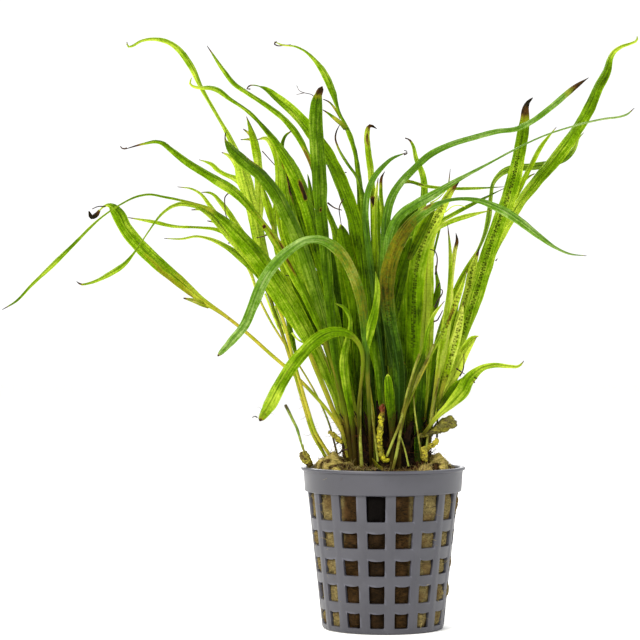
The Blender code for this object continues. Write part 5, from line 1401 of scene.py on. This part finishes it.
@dataclass
class NetPot:
    """Grey plastic net pot: a tapered wall of windows, a collar with a lip, a slotted floor.

    All sizes are in mm, and the same as the solid's.
    """

    height: float = 53.0
    collar_foot: float = 45.4
    wall_top: float = 24.7
    wall_foot: float = 19.8
    thick: float = 1.0
    columns: int = 16
    first: float = -7.0
    bar: float = 3.3
    rows: tuple[tuple[float, float], ...] = ((1.9, 6.8), (10.0, 15.65), (18.85, 23.95), (27.7, 32.8), (36.4, 45.1))
    corner: float = 0.4
    proud: float = 0.2
    droop: float = 0.5
    steps: int = 12
    slots: int = 8
    slot_in: float = 7.0
    slot_out: float = 15.5
    slot_wide: float = 3.4
    slot_corner: float = 1.2
    hub_radius: float = 3.0
    floor_radius: float = 18.2
    floor_level: float = 0.02

    def wall_radius(self, height: Any) -> Any:
        """Return the wall's outer radius at a height."""
        return self.wall_foot + (self.wall_top - self.wall_foot) * height / self.collar_foot

    def window_half(self, height: Any) -> Any:
        """Return half a window's width at a height."""
        return self.wall_radius(height) * math.pi / self.columns - 0.5 * self.bar

    def outline(self) -> np.ndarray:
        """Return a square's edge from corner to corner, closer together near its corners."""
        run = np.sin(np.linspace(-0.5, 0.5, self.steps + 1)[:-1] * math.pi)
        ones = np.ones_like(run)
        return np.concatenate([np.stack(pair, axis=-1) for pair in
                               ((run, -ones), (ones, run), (-run, ones), (-ones, -run))])

    @staticmethod
    def rounded(square: np.ndarray, half_wide: float, half_high: float, corner: float) -> np.ndarray:
        """Stretch a square's edge to a rectangle with rounded corners.

        Args:
            square: the square's edge, from -1 to 1.
            half_wide: half the rectangle's width, in mm.
            half_high: half its height.
            corner: its corners' radius.

        Returns:
            The rectangle's edge.
        """
        flat = square * (half_wide, half_high)
        core = np.clip(flat, (corner - half_wide, corner - half_high), (half_wide - corner, half_high - corner))
        away = flat - core
        return core + corner * away / np.maximum(np.linalg.norm(away, axis=1), 1e-9)[:, None]

    def window(self, square: np.ndarray, low: float, high: float, drooping: bool) -> np.ndarray:
        """Return a window's rounded outline as (angle, height), anticlockwise from its lower left."""
        middle, half_high = 0.5 * (low + high), 0.5 * (high - low)
        half = self.window_half(middle)
        across, up = self.rounded(square, half, half_high, self.corner).T
        if drooping:
            up = up + np.where(square[:, 1] > 0.98, self.droop * (np.abs(square[:, 0]) ** 3 - 0.35), 0.0)
        height = middle + up
        share = self.window_half(height) / half
        return np.stack([across * share / self.wall_radius(height), height], axis=-1)

    def on_wall(self, angle: np.ndarray, height: np.ndarray, fade: float = 1.0) -> np.ndarray:
        """Return places on the wall, with the upright bars standing a little proud."""
        half_turn = math.pi / self.columns
        bar = clamp((np.abs(angle) / half_turn - 0.7) / 0.16)
        radius = self.wall_radius(height) + fade * self.proud * bar * bar * (3.0 - 2.0 * bar)
        return np.stack([radius * np.sin(angle), -radius * np.cos(angle), height], axis=-1)

    def column(self) -> bpy.types.Object:
        """Build one column of windows, one sixteenth of the wall, as a thin sheet."""
        half_turn = math.pi / self.columns
        square = self.outline()
        between = [0.5 * (a[1] + b[0]) for a, b in zip(self.rows, self.rows[1:])]
        levels = [1.2] + between + [self.collar_foot + 0.6]
        points: list[np.ndarray] = []
        faces: list[tuple[int, ...]] = []
        total = 0
        for number, (low, high) in enumerate(self.rows):
            top, foot = levels[number + 1], levels[number]
            rim = self.window(square, low, high, number < len(self.rows) - 1)
            cell = np.stack([square[:, 0] * half_turn, foot + (top - foot) * (square[:, 1] + 1.0) / 2.0], axis=-1)
            rings = [rim + (cell - rim) * share for share in (0.0, 0.18, 0.5, 1.0)]
            points += [self.on_wall(ring[:, 0], ring[:, 1]) for ring in rings]
            faces += bridge(total, len(rings), len(square), flip=True)
            total += len(rings) * len(square)
        foot_angles = np.append(square[:self.steps, 0], 1.0) * half_turn
        foot_rows = ((levels[0], 0.0, 1.0), (0.75, 0.02, 0.8), (0.36, 0.14, 0.5), (0.1, 0.42, 0.2), (0.0, 0.9, 0.0),
                     (0.0, 2.4, 0.0))
        for level, inward, fade in foot_rows:
            row = self.on_wall(foot_angles, np.full_like(foot_angles, level), fade)
            row[:, :2] *= 1.0 - inward / self.wall_foot
            points.append(row)
        faces += bridge(total, len(foot_rows), len(foot_angles), flip=True, closed=False)
        return add_mesh("pot_column", np.vstack(points), faces)

    def floor_sector(self) -> bpy.types.Object:
        """Build one eighth of the floor's underside with its slot."""
        half_turn = math.pi / self.slots
        square = self.outline()
        count = len(square)
        middle, half_long = 0.5 * (self.slot_in + self.slot_out), 0.5 * (self.slot_out - self.slot_in)
        slot = self.rounded(square, 0.5 * self.slot_wide, half_long, self.slot_corner) + (0.0, middle)
        radius = self.hub_radius + (self.floor_radius - self.hub_radius) * (1.0 - square[:, 1]) / 2.0
        angle = square[:, 0] * half_turn
        cell = np.stack([radius * np.sin(angle), radius * np.cos(angle)], axis=-1)
        slot[:, 1] = 2.0 * middle - slot[:, 1]
        rings = [slot + (cell - slot) * share for share in (0.0, 0.3, 1.0)]
        points = [np.stack([ring[:, 0], -ring[:, 1], np.full(count, self.floor_level)], axis=-1) for ring in rings]
        faces = [face[-1:] + face[:-1] for face in bridge(0, len(rings), count)]
        hub = [k for k in range(count) if square[k, 1] > 0.99]
        hub.append((hub[-1] + 1) % count)
        points.append(np.array([[0.0, 0.0, self.floor_level]]))
        centre = 3 * count
        for a, b in zip(hub, hub[1:]):
            faces.append((2 * count + a, 2 * count + b, centre))
        return add_mesh("pot_floor", np.vstack(points), faces)

    def collar(self) -> bpy.types.Object:
        """Turn the plain collar and its lip."""
        profile = ((24.0, 44.7), (24.75, 44.9), (25.5, 45.0), (25.72, 45.15), (25.8, 45.4), (26.2, 51.3),
                   (26.35, 51.75), (26.75, 51.95), (26.95, 52.1), (27.0, 52.35), (27.0, 52.7), (26.9, 52.92),
                   (26.7, 53.0), (25.7, 53.0), (25.4, 52.92), (25.25, 52.7), (25.2, 51.9), (24.75, 46.6),
                   (24.3, 45.9), (23.8, 45.7), (23.7, 45.0))
        steps = 192
        angles = np.arange(steps) * math.tau / steps
        points = np.array([[r * math.cos(a), r * math.sin(a), z] for a in angles for r, z in profile])
        wide = len(profile)
        faces = []
        for k in range(steps):
            here, after = k * wide, (k + 1) % steps * wide
            for j in range(wide):
                above = (j + 1) % wide
                faces.append((here + j, after + j, after + above, here + above))
        return add_mesh("pot_collar", points, faces)

    def build(self, finish: bpy.types.Material) -> bpy.types.Object:
        """Build the whole pot as one moulding.

        Args:
            finish: the plastic.

        Returns:
            The piece, which stands for the pot's solid.
        """
        ring = RingOfCopies()
        turn = math.radians(self.first)
        wall = ring.apply(self.column(), finish, Count=self.columns, First_Turn=turn, Weld=0.02 * MM)
        floor = ring.apply(self.floor_sector(), finish, Count=self.slots, First_Turn=turn, Weld=0.02 * MM)
        shells = []
        for shell in (wall, floor):
            wall_thick = shell.modifiers.new("wall", "SOLIDIFY")
            wall_thick.thickness = self.thick * MM
            wall_thick.offset = -1.0
            rim = shell.modifiers.new("rim", "BEVEL")
            rim.width = 0.16 * MM
            rim.segments = 2
            rim.limit_method = "ANGLE"
            rim.angle_limit = math.radians(50)
            shells.append(settle(shell))
        pot = join("net_pot_moulding", shells + [self.collar()])
        pot.data.shade_smooth()
        pot.data.set_sharp_from_angle(angle=math.radians(40))
        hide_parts("net_pot")
        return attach(pot, BODY)


@dataclass
class RockwoolPlug:
    """The fibre block in the pot: felt pressed into the windows, loose fibres and moss on top.

    Attributes:
        pot: the pot that it fills.
        rounds: points round it.
        clear: gap to the pot's wall, in mm.
        top_from: height above which its surface counts as the top, in mm.
    """

    pot: NetPot
    rounds: int = 288
    clear: float = 0.25
    top_from: float = 49.0

    def body(self, node: bpy.types.Object) -> bpy.types.Object:
        """Build the felt body: its sides follow the pot, its top follows the solid's."""
        # The rays below need the solid evaluated
        bpy.context.evaluated_depsgraph_get()
        angles = np.arange(self.rounds) * math.tau / self.rounds
        levels = np.concatenate([np.linspace(1.3, 45.0, 90), np.linspace(45.6, 50.0, 8)])
        rows, growth = [], []
        pitch = math.tau / self.pot.columns
        first = math.radians(self.pot.first)
        for level in levels:
            inside = self.pot.wall_radius(min(level, self.pot.collar_foot)) - self.pot.thick - self.clear
            off = (angles - first + 0.5 * pitch) % pitch - 0.5 * pitch
            half = self.pot.window_half(level) / self.pot.wall_radius(level)
            window = np.zeros_like(angles)
            for low, high in self.pot.rows:
                middle, half_high = 0.5 * (low + high), 0.5 * (high - low)
                if abs(level - middle) < half_high:
                    window = clamp(1.0 - (off / half) ** 4) * (1.0 - ((level - middle) / half_high) ** 4)
            right = clamp(np.sin(angles) * 1.6 - 0.5)
            bulge = np.array([noise.noise(Vector((math.sin(a) * 3.4, math.cos(a) * 3.4, level / 9.0))) for a in angles])
            radius = inside + window * (0.35 + 1.5 * clamp(bulge + 0.1) + 0.5 * right)
            rows.append(np.stack([radius * np.sin(angles), -radius * np.cos(angles),
                                  np.full_like(angles, level)], axis=-1))
            growth.append(window * (0.4 + np.clip(bulge * 2.0, 0.0, 0.8)))
        points = np.vstack(rows)
        values = np.concatenate(growth)
        rim = self.pot.wall_radius(self.pot.collar_foot) - self.pot.thick - self.clear
        tops = []
        for share in np.linspace(0.985, 0.0, 34):
            ring = rim * (share + 0.015 * (share > 0.0))
            for a in angles:
                x, y = ring * math.sin(a), -ring * math.cos(a)
                hit, where = node.ray_cast(Vector((x * MM, y * MM, 0.08)), Vector((0.0, 0.0, -1.0)))[:2]
                level = where.z / MM if hit else 51.0
                level = max(level, 50.3)
                tops.append((x, y, level - 0.9 * clamp((share - 0.9) / 0.085) ** 2))
        points = np.vstack([points, np.array(tops)])
        values = np.concatenate([values, np.ones(len(tops))])
        item = add_mesh("rockwool_felt", points, tube(len(points), self.rounds))
        x, y, z = points[:, 0], points[:, 1], points[:, 2]
        # Painted shade: the front middle of the felt is darkened, most in the upper windows just left of centre
        front = clamp((-y - 6.0) / 8.0)
        stain = clamp((12.0 - np.abs(x + 2.5)) / 3.0) * front * 0.95
        stain += clamp((5.0 - np.abs(x + 3.2)) / 1.5) * front * np.clip((z - 33.0) / 4.0, 0.22, 0.4)
        # Painted shade on the top round the crown, and in the top's hollows
        stain = np.maximum(stain, clamp(1.5 - np.hypot(x - 1.0, y + 5.0) / 11.5) * (z > 47))
        hollows = np.array([noise.noise(Vector((a / 3.6, b / 3.6, 5.0))) for a, b in zip(x, y)])
        stain = np.maximum(stain, clamp(0.25 - hollows * 4.0) * (z > self.top_from))
        moss = clamp((z - self.top_from) / 4.0) * 0.55
        values = values * clamp(1.0 - 1.4 * stain * (z < 48.0))
        for name, column in (("growth", values), ("stain", stain), ("moss", moss)):
            write_points(item.data, name, column)
        item.data.shade_smooth()
        places = read_points(item.data)
        places[:, 2] += np.where(z > 50.0, hollows * 2.2 * MM, 0.0)
        item.data.vertices.foreach_set("co", places.reshape(-1))
        item.data.update()
        roughen(item, (Waves(4.5, 0.34, 2.0), Waves(1.6, 0.24, 5.0), Waves(0.8, 0.13, 9.0)))
        return item

    def fibres(self, body: bpy.types.Object) -> list[bpy.types.Object]:
        """Scatter loose fibres, moss and fine roots over the felt."""
        sorts = (
            ("wool_fibres", DryFibre("loose_mineral_fibre", "#6E5E30", "#B4A468"), "rockwool",
             dict(Density=5.2e5, Length=3.2 * MM, Bend=1.3 * MM, Thickness=0.055 * MM, Lean=1.35, Seed=3)),
            ("moss_tufts", DryFibre("dry_moss", "#44420F", "#86802A"), "rockwool",
             dict(Density=2.4e5, Length=1.9 * MM, Bend=0.6 * MM, Thickness=0.08 * MM, Lean=0.9, Seed=11)),
            ("root_hairs", DryFibre("fine_brown_root", "#2A1A10", "#6E4A26"), "old_roots",
             dict(Density=2.2e5, Length=4.4 * MM, Bend=2.0 * MM, Thickness=0.07 * MM, Lean=1.3, Seed=17)),
        )
        made = []
        for name, finish, slot, values in sorts:
            base = copy_object(body, name)
            if name != "wool_fibres":
                keep = (read_points(base.data)[:, 2] > self.top_from * MM).astype(np.float32)
                base.data.attributes["growth"].data.foreach_set("value", keep)
            piece = Scatter().apply(base, finish.material(), Shortest=0.35, **values)
            made.append(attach(piece, BODY))
        return made

    def build(self, node: bpy.types.Object) -> list[bpy.types.Object]:
        """Build the felt and what grows on it.

        Args:
            node: the plug's solid.

        Returns:
            The pieces.
        """
        body = self.body(node)
        loose = self.fibres(body)
        body.data.materials.append(FibreBlock().material())
        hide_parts("rockwool_plug")
        return [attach(body, BODY)] + loose


@dataclass(frozen=True)
class Thread:
    """A thin stem, tendril or root that the solids leave out.

    Attributes:
        points: (across, up) in mm as the front view shows it.
        radius: its radius in mm.
        parent: the leaf whose depth it keeps, or nothing.
        depth: mm behind that leaf, or behind the pot's axis where there is none.
        taper: its radius at the far end, as a share.
    """

    points: tuple[tuple[float, float], ...]
    radius: float
    parent: str = ""
    depth: float = 0.0
    taper: float = 0.5


DEAD_THREADS: tuple[Thread, ...] = (
    Thread(((-46, 140.8), (-48.4, 142.3), (-50.7, 142.8), (-51.8, 141.8), (-52, 138.7), (-51.8, 136), (-50.9, 133.7)),
        0.27, "left_01", 1),
    Thread(((-39.7, 156.6), (-37.2, 153.8), (-34.6, 150.9)), 0.2, "left_20", 1, 0.8),
    Thread(((-36.5, 129.8), (-38.6, 128.8), (-41.5, 128.2)), 0.22, "left_08", 1),
    Thread(((-18.3, 139.7), (-16, 138), (-13.5, 137.2)), 0.3, "left_02", 1),
    Thread(((-13, 141), (-14.3, 138.5), (-14, 134), (-13.5, 131)), 0.22, "left_02", 3),
    Thread(((-13, 149), (-12.2, 149.7), (-11.9, 149.6)), 0.25, "left_05", 1),
    Thread(((17.2, 116), (17.5, 118), (17.6, 122.5), (17, 123.8), (15.5, 124.3)), 0.3, "right_19", -1),
    Thread(((17, 105.3), (18.2, 107.8), (19.4, 109.8), (19.6, 110.8), (18.8, 111.2)), 0.3, "right_19", -1),
    Thread(((17.9, 111.8), (18.6, 113.4)), 0.25, "right_19", -1),
    Thread(((16.6, 100.6), (17.8, 101), (18.4, 102), (19.6, 104.3)), 0.27, "right_19", -1),
    Thread(((25.2, 82.6), (26.2, 84.5), (26.6, 87), (26.5, 90)), 0.25, "right_06", -0.5),
    Thread(((24, 85.2), (26.8, 83.3)), 0.25, "right_06", 0.5),
    Thread(((30.2, 80.4), (29.5, 81.3)), 0.2, "right_06", 0), Thread(((30.9, 81.8), (29.8, 82.2)), 0.2, "right_06"),
    Thread(((37, 120.5), (37.6, 121.3)), 0.25, "right_01", 0.5),
    Thread(((2.4, 134), (2.2, 131), (1.3, 129.3)), 0.3, "right_16", 1),
    Thread(((-41.3, 69), (-42.2, 69.5), (-43, 69)), 0.2, "left_15", 0),
    Thread(((-28.2, 97.9), (-29.4, 98.8), (-29.8, 99.8)), 0.25, "left_11", 0),
    Thread(((-30.3, 115.6), (-32, 115.8)), 0.25, "left_08", 1),
    Thread(((-84.2, 157.6), (-85.6, 157.4), (-86.4, 158.2)), 0.3, "left_08", 0),
    Thread(((-91.2, 138.4), (-93.8, 138.4), (-95.6, 137.6)), 0.2, "left_10", 0, 0.8),
    Thread(((-35, 192.6), (-35.8, 191.9), (-34.8, 191.3), (-32.6, 191.4), (-30.3, 191.6)), 0.28, "left_05", 0),
    Thread(((-21, 172), (-23.5, 175.2), (-25.9, 175.8), (-27.5, 176.5), (-28.4, 178.2)), 0.18, "left_05", 1),
    Thread(((-25.9, 175.8), (-28.5, 175.2)), 0.16, "left_05", 1),
    Thread(((-43.6, 177), (-44.8, 177.2), (-43.9, 178.3)), 0.25, "left_04", 0),
    Thread(((6.9, 155.4), (8, 156), (7.7, 156.7), (6.9, 156.9)), 0.25, "centre_08", 0),
    Thread(((7.3, 160.9), (8.9, 160.3)), 0.25, "centre_09", 0),
    Thread(((14.5, 57.2), (15.9, 58.4), (15.2, 59.2)), 0.3, "", -9.5),
    Thread(((-14.5, 61), (-15.5, 60.2)), 0.3, "", -9),
    Thread(((-13.3, 60.8), (-12.8, 59.5), (-12.7, 58.5)), 0.3, "", -9),
    Thread(((-11.5, 58.5), (-13, 58.3), (-15, 57)), 0.35, "", -9),
)

GREEN_THREADS: tuple[Thread, ...] = (
    Thread(((-38.8, 109.8), (-36.6, 104), (-34.2, 98)), 0.36, "left_11", 3, 0.9),
    Thread(((-35.6, 105.8), (-33.8, 101), (-32.3, 96.6)), 0.3, "left_11", 4, 0.9),
    Thread(((17.8, 133.5), (19, 135.5), (21, 137), (23, 138.5), (25, 138.8), (27, 138.3)), 0.26, "right_20", 0),
    Thread(((15.5, 139.5), (18, 141), (20.5, 143.5)), 0.26, "right_20", 1),
    Thread(((-30, 97), (-28.2, 94.8), (-26, 93.5)), 0.35, "left_11", 0.5, 0.8),
)


BARE_STALKS: tuple[Thread, ...] = (
    Thread(((1.2, 56.2), (3.4, 61.8), (5.6, 67.3), (6.9, 72.5), (7.9, 77), (9.2, 81.4), (10.4, 85.5), (12, 90)), 0.42,
        "", -15.5, 1),
    Thread(((3.2, 52), (4.4, 57), (5.2, 61.3), (5.8, 66), (6.4, 70.5), (8.2, 75.5), (11.2, 81.4), (13.6, 86.2),
        (16.7, 93.2)), 0.5, "", -15, 1),
    Thread(((-7, 52.8), (-7.6, 64), (-7.4, 76), (-7, 86)), 0.55, "", -14, 0.7),
    Thread(((-1.7, 54.6), (-3, 65), (-4.4, 75), (-5.9, 86)), 0.36, "", -14.5, 0.9),
    Thread(((12.6, 56.5), (11.4, 64), (10.3, 72), (9.8, 82)), 0.32, "", -13.5, 0.7),
    Thread(((13.9, 56), (14.9, 64), (16.2, 71), (18.4, 82)), 0.4, "", -9, 0.8),
    Thread(((8.4, 53), (7, 59), (5.8, 62.5)), 0.3, "", -14, 0.8),
    Thread(((-25.7, 57), (-26.1, 58.4), (-26.5, 60.2)), 0.38, "", -4, 0.9),
)


@dataclass
class Tendrils:
    """Threads that hang on the leaves: dead black ones and thin living ones."""

    foliage: Foliage

    def build(self, name: str, threads: Sequence[Thread], finish: DryFibre, slot: str) -> bpy.types.Object:
        """Build a set of threads as one piece.

        Args:
            name: the piece's name.
            threads: their routes.
            finish: their skin.
            slot: the record's slot; not used.

        Returns:
            The piece.
        """
        data = bpy.data.curves.new(name, "CURVE")
        data.dimensions = "3D"
        for thread in threads:
            flat = np.asarray(thread.points, dtype=float)
            at = running_length(flat)
            wanted = np.linspace(0.0, at[-1], max(4, int(at[-1] / 0.6)))
            flat = smooth_through(at, flat, wanted) if len(flat) > 2 else np.stack(
                [np.interp(wanted, at, flat[:, k]) for k in (0, 1)], axis=-1)
            if thread.parent:
                spine = self.foliage.spines[thread.parent].fine(2.0)
                depths = np.array([spine.depth_near(a, u) for a, u in flat])
                depths = np.linspace(depths[0], depths[-1], len(flat)) + thread.depth
            else:
                depths = np.full(len(flat), thread.depth)
            spline = data.splines.new("POLY")
            spline.points.add(len(flat) - 1)
            for number, (slot_point, place) in enumerate(zip(spline.points, from_view(flat[:, 0], flat[:, 1], depths))):
                slot_point.co = (*(place * MM), 1.0)
                share = number / (len(flat) - 1)
                slot_point.radius = thread.radius * (1.0 + (thread.taper - 1.0) * share)
        item = new_object(name, data)
        piece = RoundThreads().apply(item, finish.material(), Sides=8)
        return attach(piece, BODY)


@dataclass
class Crown:
    """What the leaves grow from: the dark root mass, the rhizome pieces, the bud and the stalk."""

    def rough_piece(self, node: bpy.types.Object, name: str, cuts: int, waves: Sequence[Waves],
                    finish: bpy.types.Material, swell: Sequence[float] = (0.0, 0.0)) -> bpy.types.Object:
        """Build one piece from its solid, rounded and roughened.

        Args:
            node: the solid.
            name: the piece's name.
            cuts: subdivision levels.
            waves: its relief.
            finish: its material.
            swell: how far its skin stands out at its left and right ends, in mm.

        Returns:
            The piece.
        """
        piece = fine_copy(node, name, cuts)
        roughen(piece, waves, swell)
        piece.data.shade_smooth()
        piece.data.materials.append(finish)
        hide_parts(node.name)
        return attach(piece, BODY)

    def build(self, nodes: dict[str, bpy.types.Object]) -> list[bpy.types.Object]:
        """Build the crown.

        Args:
            nodes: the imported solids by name.

        Returns:
            The pieces.
        """
        # The root mass is near black: the dark roots' own colour, and painted shade under the clump
        bark = DryFibre("old_leaf_base_bark", "#080503", "#22160C", 0.9, 1.6).material()
        yellow = RhizomeSkin("young_rhizome_skin", "#9C9226", "#6A6418", "#3A2A0C").material()
        red_tip = RhizomeSkin("upright_rhizome_skin", "#A29C1A", "#6E6A12", "#2A1A0A", "#5A2A0C", 70.0).material()
        brown = RhizomeSkin("weathered_rhizome_skin", "#96902A", "#54481A").material()
        stem = RhizomeSkin("green_stem_skin", "#7C8A34", "#56701E", "#4A4A1A", "#3A3418", 70.8).material()
        grey = RhizomeSkin("old_rhizome_skin", "#6E6A1C", "#4C4A1A").material()
        made = [self.rough_piece(nodes["root_mass"], "root_tangle", 2,
                                 (Waves(2.6, 0.8, 1.0, True), Waves(1.1, 0.4, 4.0, True), Waves(0.6, 0.16, 8.0)),
                                 bark)]
        knots, firm = (Waves(1.5, 0.34, 3.0), Waves(0.7, 0.24, 6.0, True)), (Waves(2.0, 0.06),)
        for name, finish, slot, cuts, waves, swell in (
                ("rhizome_centre", red_tip, "rhizome_yellow", 3, knots, (0, 0)),
                ("rhizome_cut", grey, "rhizome_grey", 3, knots, (-0.7, 0.6)),
                ("rhizome_side", yellow, "rhizome_yellow", 3, knots, (0, 0)),
                ("rhizome_knob", yellow, "rhizome_yellow", 3, knots, (0, 0)),
                ("rhizome_left", brown, "rhizome_yellow", 3, knots, (0.3, 0.1)),
                ("bud_left", yellow, "rhizome_yellow", 3, knots, (0.1, 0.1)),
                ("stalk_left", stem, "leaf_olive", 2, firm, (0.1, 0.1))):
            made.append(self.rough_piece(nodes[name], name + "_skin", cuts, waves, finish, swell))
        made.append(self.roots(made[0]))
        return made

    def roots(self, tangle: bpy.types.Object) -> bpy.types.Object:
        """Scatter dark roots and leaf-base scales over the root mass."""
        base = copy_object(tangle, "tangle_roots")
        write_points(base.data, "growth", np.ones(len(base.data.vertices)))
        finish = DryFibre("dark_root_thread", "#0C0704", "#4A2C14", 0.8, 1.2).material()
        piece = Scatter().apply(base, finish, Density=7.0e5, Length=5.4 * MM, Bend=2.6 * MM, Thickness=0.1 * MM,
                                Lean=1.3, Shortest=0.3, Seed=23)
        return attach(piece, BODY)


@dataclass
class LeafFeet:
    """What clings to the stalks where they leave the rhizome: rusty hairs, and old broken leaf bases.

    Attributes:
        hair_top: height where the hairs end, in mm.
        bases: how many old bases there are.
        seed: for their places.
    """

    hair_top: float = 75.0
    bases: int = 74
    seed: int = 7

    def hairs(self, blades: Sequence[bpy.types.Object]) -> bpy.types.Object:
        """Scatter rusty hairs over the lowest part of the stalks.

        Args:
            blades: the leaves.

        Returns:
            The piece.
        """
        cage = bmesh.new()
        for blade in blades:
            cage.from_mesh(blade.data)
        high = [face for face in cage.faces if face.calc_center_median().z > self.hair_top * MM]
        bmesh.ops.delete(cage, geom=high, context="FACES")
        made = bpy.data.meshes.new("stalk_hairs")
        cage.to_mesh(made)
        cage.free()
        item = new_object("stalk_hairs", made)
        levels = read_points(made)[:, 2].astype(float) / MM
        write_points(made, "growth", clamp((self.hair_top - levels) / 12.0))
        finish = DryFibre("rusty_stalk_hair", "#120A04", "#5A3210", 0.8, 1.5).material()
        piece = Scatter().apply(item, finish, Density=5.4e5, Length=2.4 * MM, Bend=0.9 * MM, Thickness=0.075 * MM,
                                Lean=1.0, Shortest=0.3, Seed=31)
        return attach(piece, BODY)

    def old_bases(self, blade: Blade) -> bpy.types.Object:
        """Stand dead leaf bases between the stalks. Their near-black is their own colour and also painted shade between
        the stalks.

        Args:
            blade: what lofts them.

        Returns:
            The piece.
        """
        draw = np.random.default_rng(self.seed)
        parts = []
        for number in range(self.bases):
            angle = number * GOLDEN_ANGLE
            reach = math.sqrt((number + 0.5) / self.bases)
            length = 9.0 + 17.0 * draw.random() * (1.15 - 0.6 * reach)
            t = np.linspace(0.0, 1.0, 8)[:, None]
            foot = np.array([1.5 + 11.5 * reach * math.cos(angle), 8.5 * reach * math.sin(angle), 52.0])
            lean = np.array([math.cos(angle), math.sin(angle), 0.0]) * (0.1 + 0.3 * reach) * length
            sway = draw.normal(0.0, 0.8, 3) * (1.0, 1.0, 0.0)
            centre = foot + t * (0.0, 0.0, length) + t ** 2 * lean + t * sway
            turn = angle + draw.normal(0.0, 0.9)
            side = np.tile([-math.sin(turn), math.cos(turn), 0.0], (len(t), 1))
            width = (1.7 + 1.7 * draw.random()) * (1.0 - 0.8 * t[:, 0] ** 3)
            look = Look(LeafKind.OLIVE, (0.0, 0.0, 0.1), length * 1.5, 0.0, stalk=0.0)
            parts.append(blade.mesh("old_base", Spine(centre, side, width), look, (), 200.0 + number))
        piece = join("old_leaf_bases", parts)
        piece.data.materials.append(DryFibre("dead_leaf_base", "#070402", "#241608", 0.85, 2.0).material())
        piece.data.shade_smooth()
        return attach(piece, BODY)


@dataclass
class Studio:
    """The pale floor and backdrop, the soft lights and the camera.

    Attributes:
        floor_size: half the floor's width, in metres.
        paint: the floor's colour.
    """

    floor_size: float = 3.0
    paint: str = "#F4F4F2"

    def floor(self) -> bpy.types.Object:
        """Lay a plain matt floor."""
        made, add, place = new_material("matt_pale_floor")
        fine = add(NOISE, {"Vector": place, "Scale": per_mm(6.0), "Detail": 2.0})
        dull = add(RANGE, {0: fine, 3: 0.8, 4: 0.9})
        shader = add(SKIN, {"Base Color": self.paint, "Roughness": dull,
                     "Specular IOR Level": 0.1})
        add("ShaderNodeOutputMaterial", {"Surface": shader})
        reach = self.floor_size / MM
        floor = add_mesh("studio_floor", [(-reach, -reach, 0.0), (reach, -reach, 0.0), (reach, reach, 0.0),
                                          (-reach, reach, 0.0)], [(0, 1, 2, 3)])
        floor.data.materials.append(made)
        return floor

    def light(self, name: str, place: tuple[float, float, float], size: float, power: float,
              tint: str) -> bpy.types.Object:
        """Add a soft area light that points at the plant.

        Args:
            name: the light's name.
            place: where it stands, in metres.
            size: its side, in metres.
            power: in watts.
            tint: its colour.

        Returns:
            The light.
        """
        data = bpy.data.lights.new(name, "AREA")
        data.shape = "SQUARE"
        data.size = size
        data.energy = power
        data.color = linear(tint)[:3]
        lamp = new_object(name, data)
        lamp.location = place
        lamp.rotation_euler = (Vector((0.0, 0.0, 0.1)) - Vector(place)).to_track_quat("-Z", "Y").to_euler()
        return lamp

    def build(self) -> None:
        """Set up the studio."""
        self.floor()
        world = bpy.data.worlds.new("white_room")
        world.use_nodes = True
        world.node_tree.nodes.clear()
        sky = add_node(world.node_tree, "ShaderNodeBackground", {"Color": "#FFFFFF", "Strength": 1.1})
        add_node(world.node_tree, "ShaderNodeOutputWorld", {"Surface": sky})
        bpy.context.scene.world = world
        self.light("key_softbox", (-0.55, -0.75, 0.75), 0.5, 18.0, "#FFFAF2")
        self.light("fill_softbox", (0.8, -0.6, 0.35), 0.7, 3.0, "#F4F8FF")
        self.light("back_softbox", (-0.2, 0.9, 0.6), 0.7, 9.0, "#FFFFFF")
        lens = bpy.data.cameras.new("photograph_view")
        lens.sensor_fit = "HORIZONTAL"
        lens.angle = 2.0 * math.atan(0.5 * SEEN_WIDTH / -EYE[1])
        camera = new_object("photograph_view", lens)
        camera.location = [c * MM for c in EYE]
        camera.rotation_euler = (math.pi / 2, 0.0, 0.0)
        bpy.context.scene.camera = camera
        bpy.context.scene.view_settings.view_transform = "Standard"


def report(pieces: Iterable[bpy.types.Object]) -> None:
    """Log each piece's name and size."""
    for piece in pieces:
        LOG.info("%s: %d faces", piece.name, len(piece.data.polygons))


def main() -> None:
    """Build the studio and every sub-assembly in order."""
    logging.basicConfig(level=logging.INFO, format="%(name)s %(message)s")
    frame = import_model()
    nodes = frame["nodes"]
    Studio().build()
    pot = NetPot()
    report([pot.build(MouldedPlastic().material())])
    report(RockwoolPlug(pot).build(nodes["rockwool_plug"]))
    report(Crown().build(nodes))
    foliage = Foliage()
    leaves = foliage.build(nodes)
    report(leaves)
    feet = LeafFeet()
    report([feet.hairs(leaves), feet.old_bases(foliage.blade)])
    tendrils = Tendrils(foliage)
    report([
        tendrils.build("dead_threads", DEAD_THREADS, DryFibre("dead_black_thread", "#120D09", "#3A281A", 0.6),
                       "old_roots"),
        tendrils.build("living_threads", GREEN_THREADS, DryFibre("thin_green_stem", "#6E8A1E", "#A8B838", 0.5),
                       "leaf_pale"),
        tendrils.build("bare_stalks", BARE_STALKS, DryFibre("bare_stalk_skin", "#4E490E", "#7D8432", 0.6, 5.0),
                       "leaf_olive"),
    ])


if __name__ == "__main__":
    main()
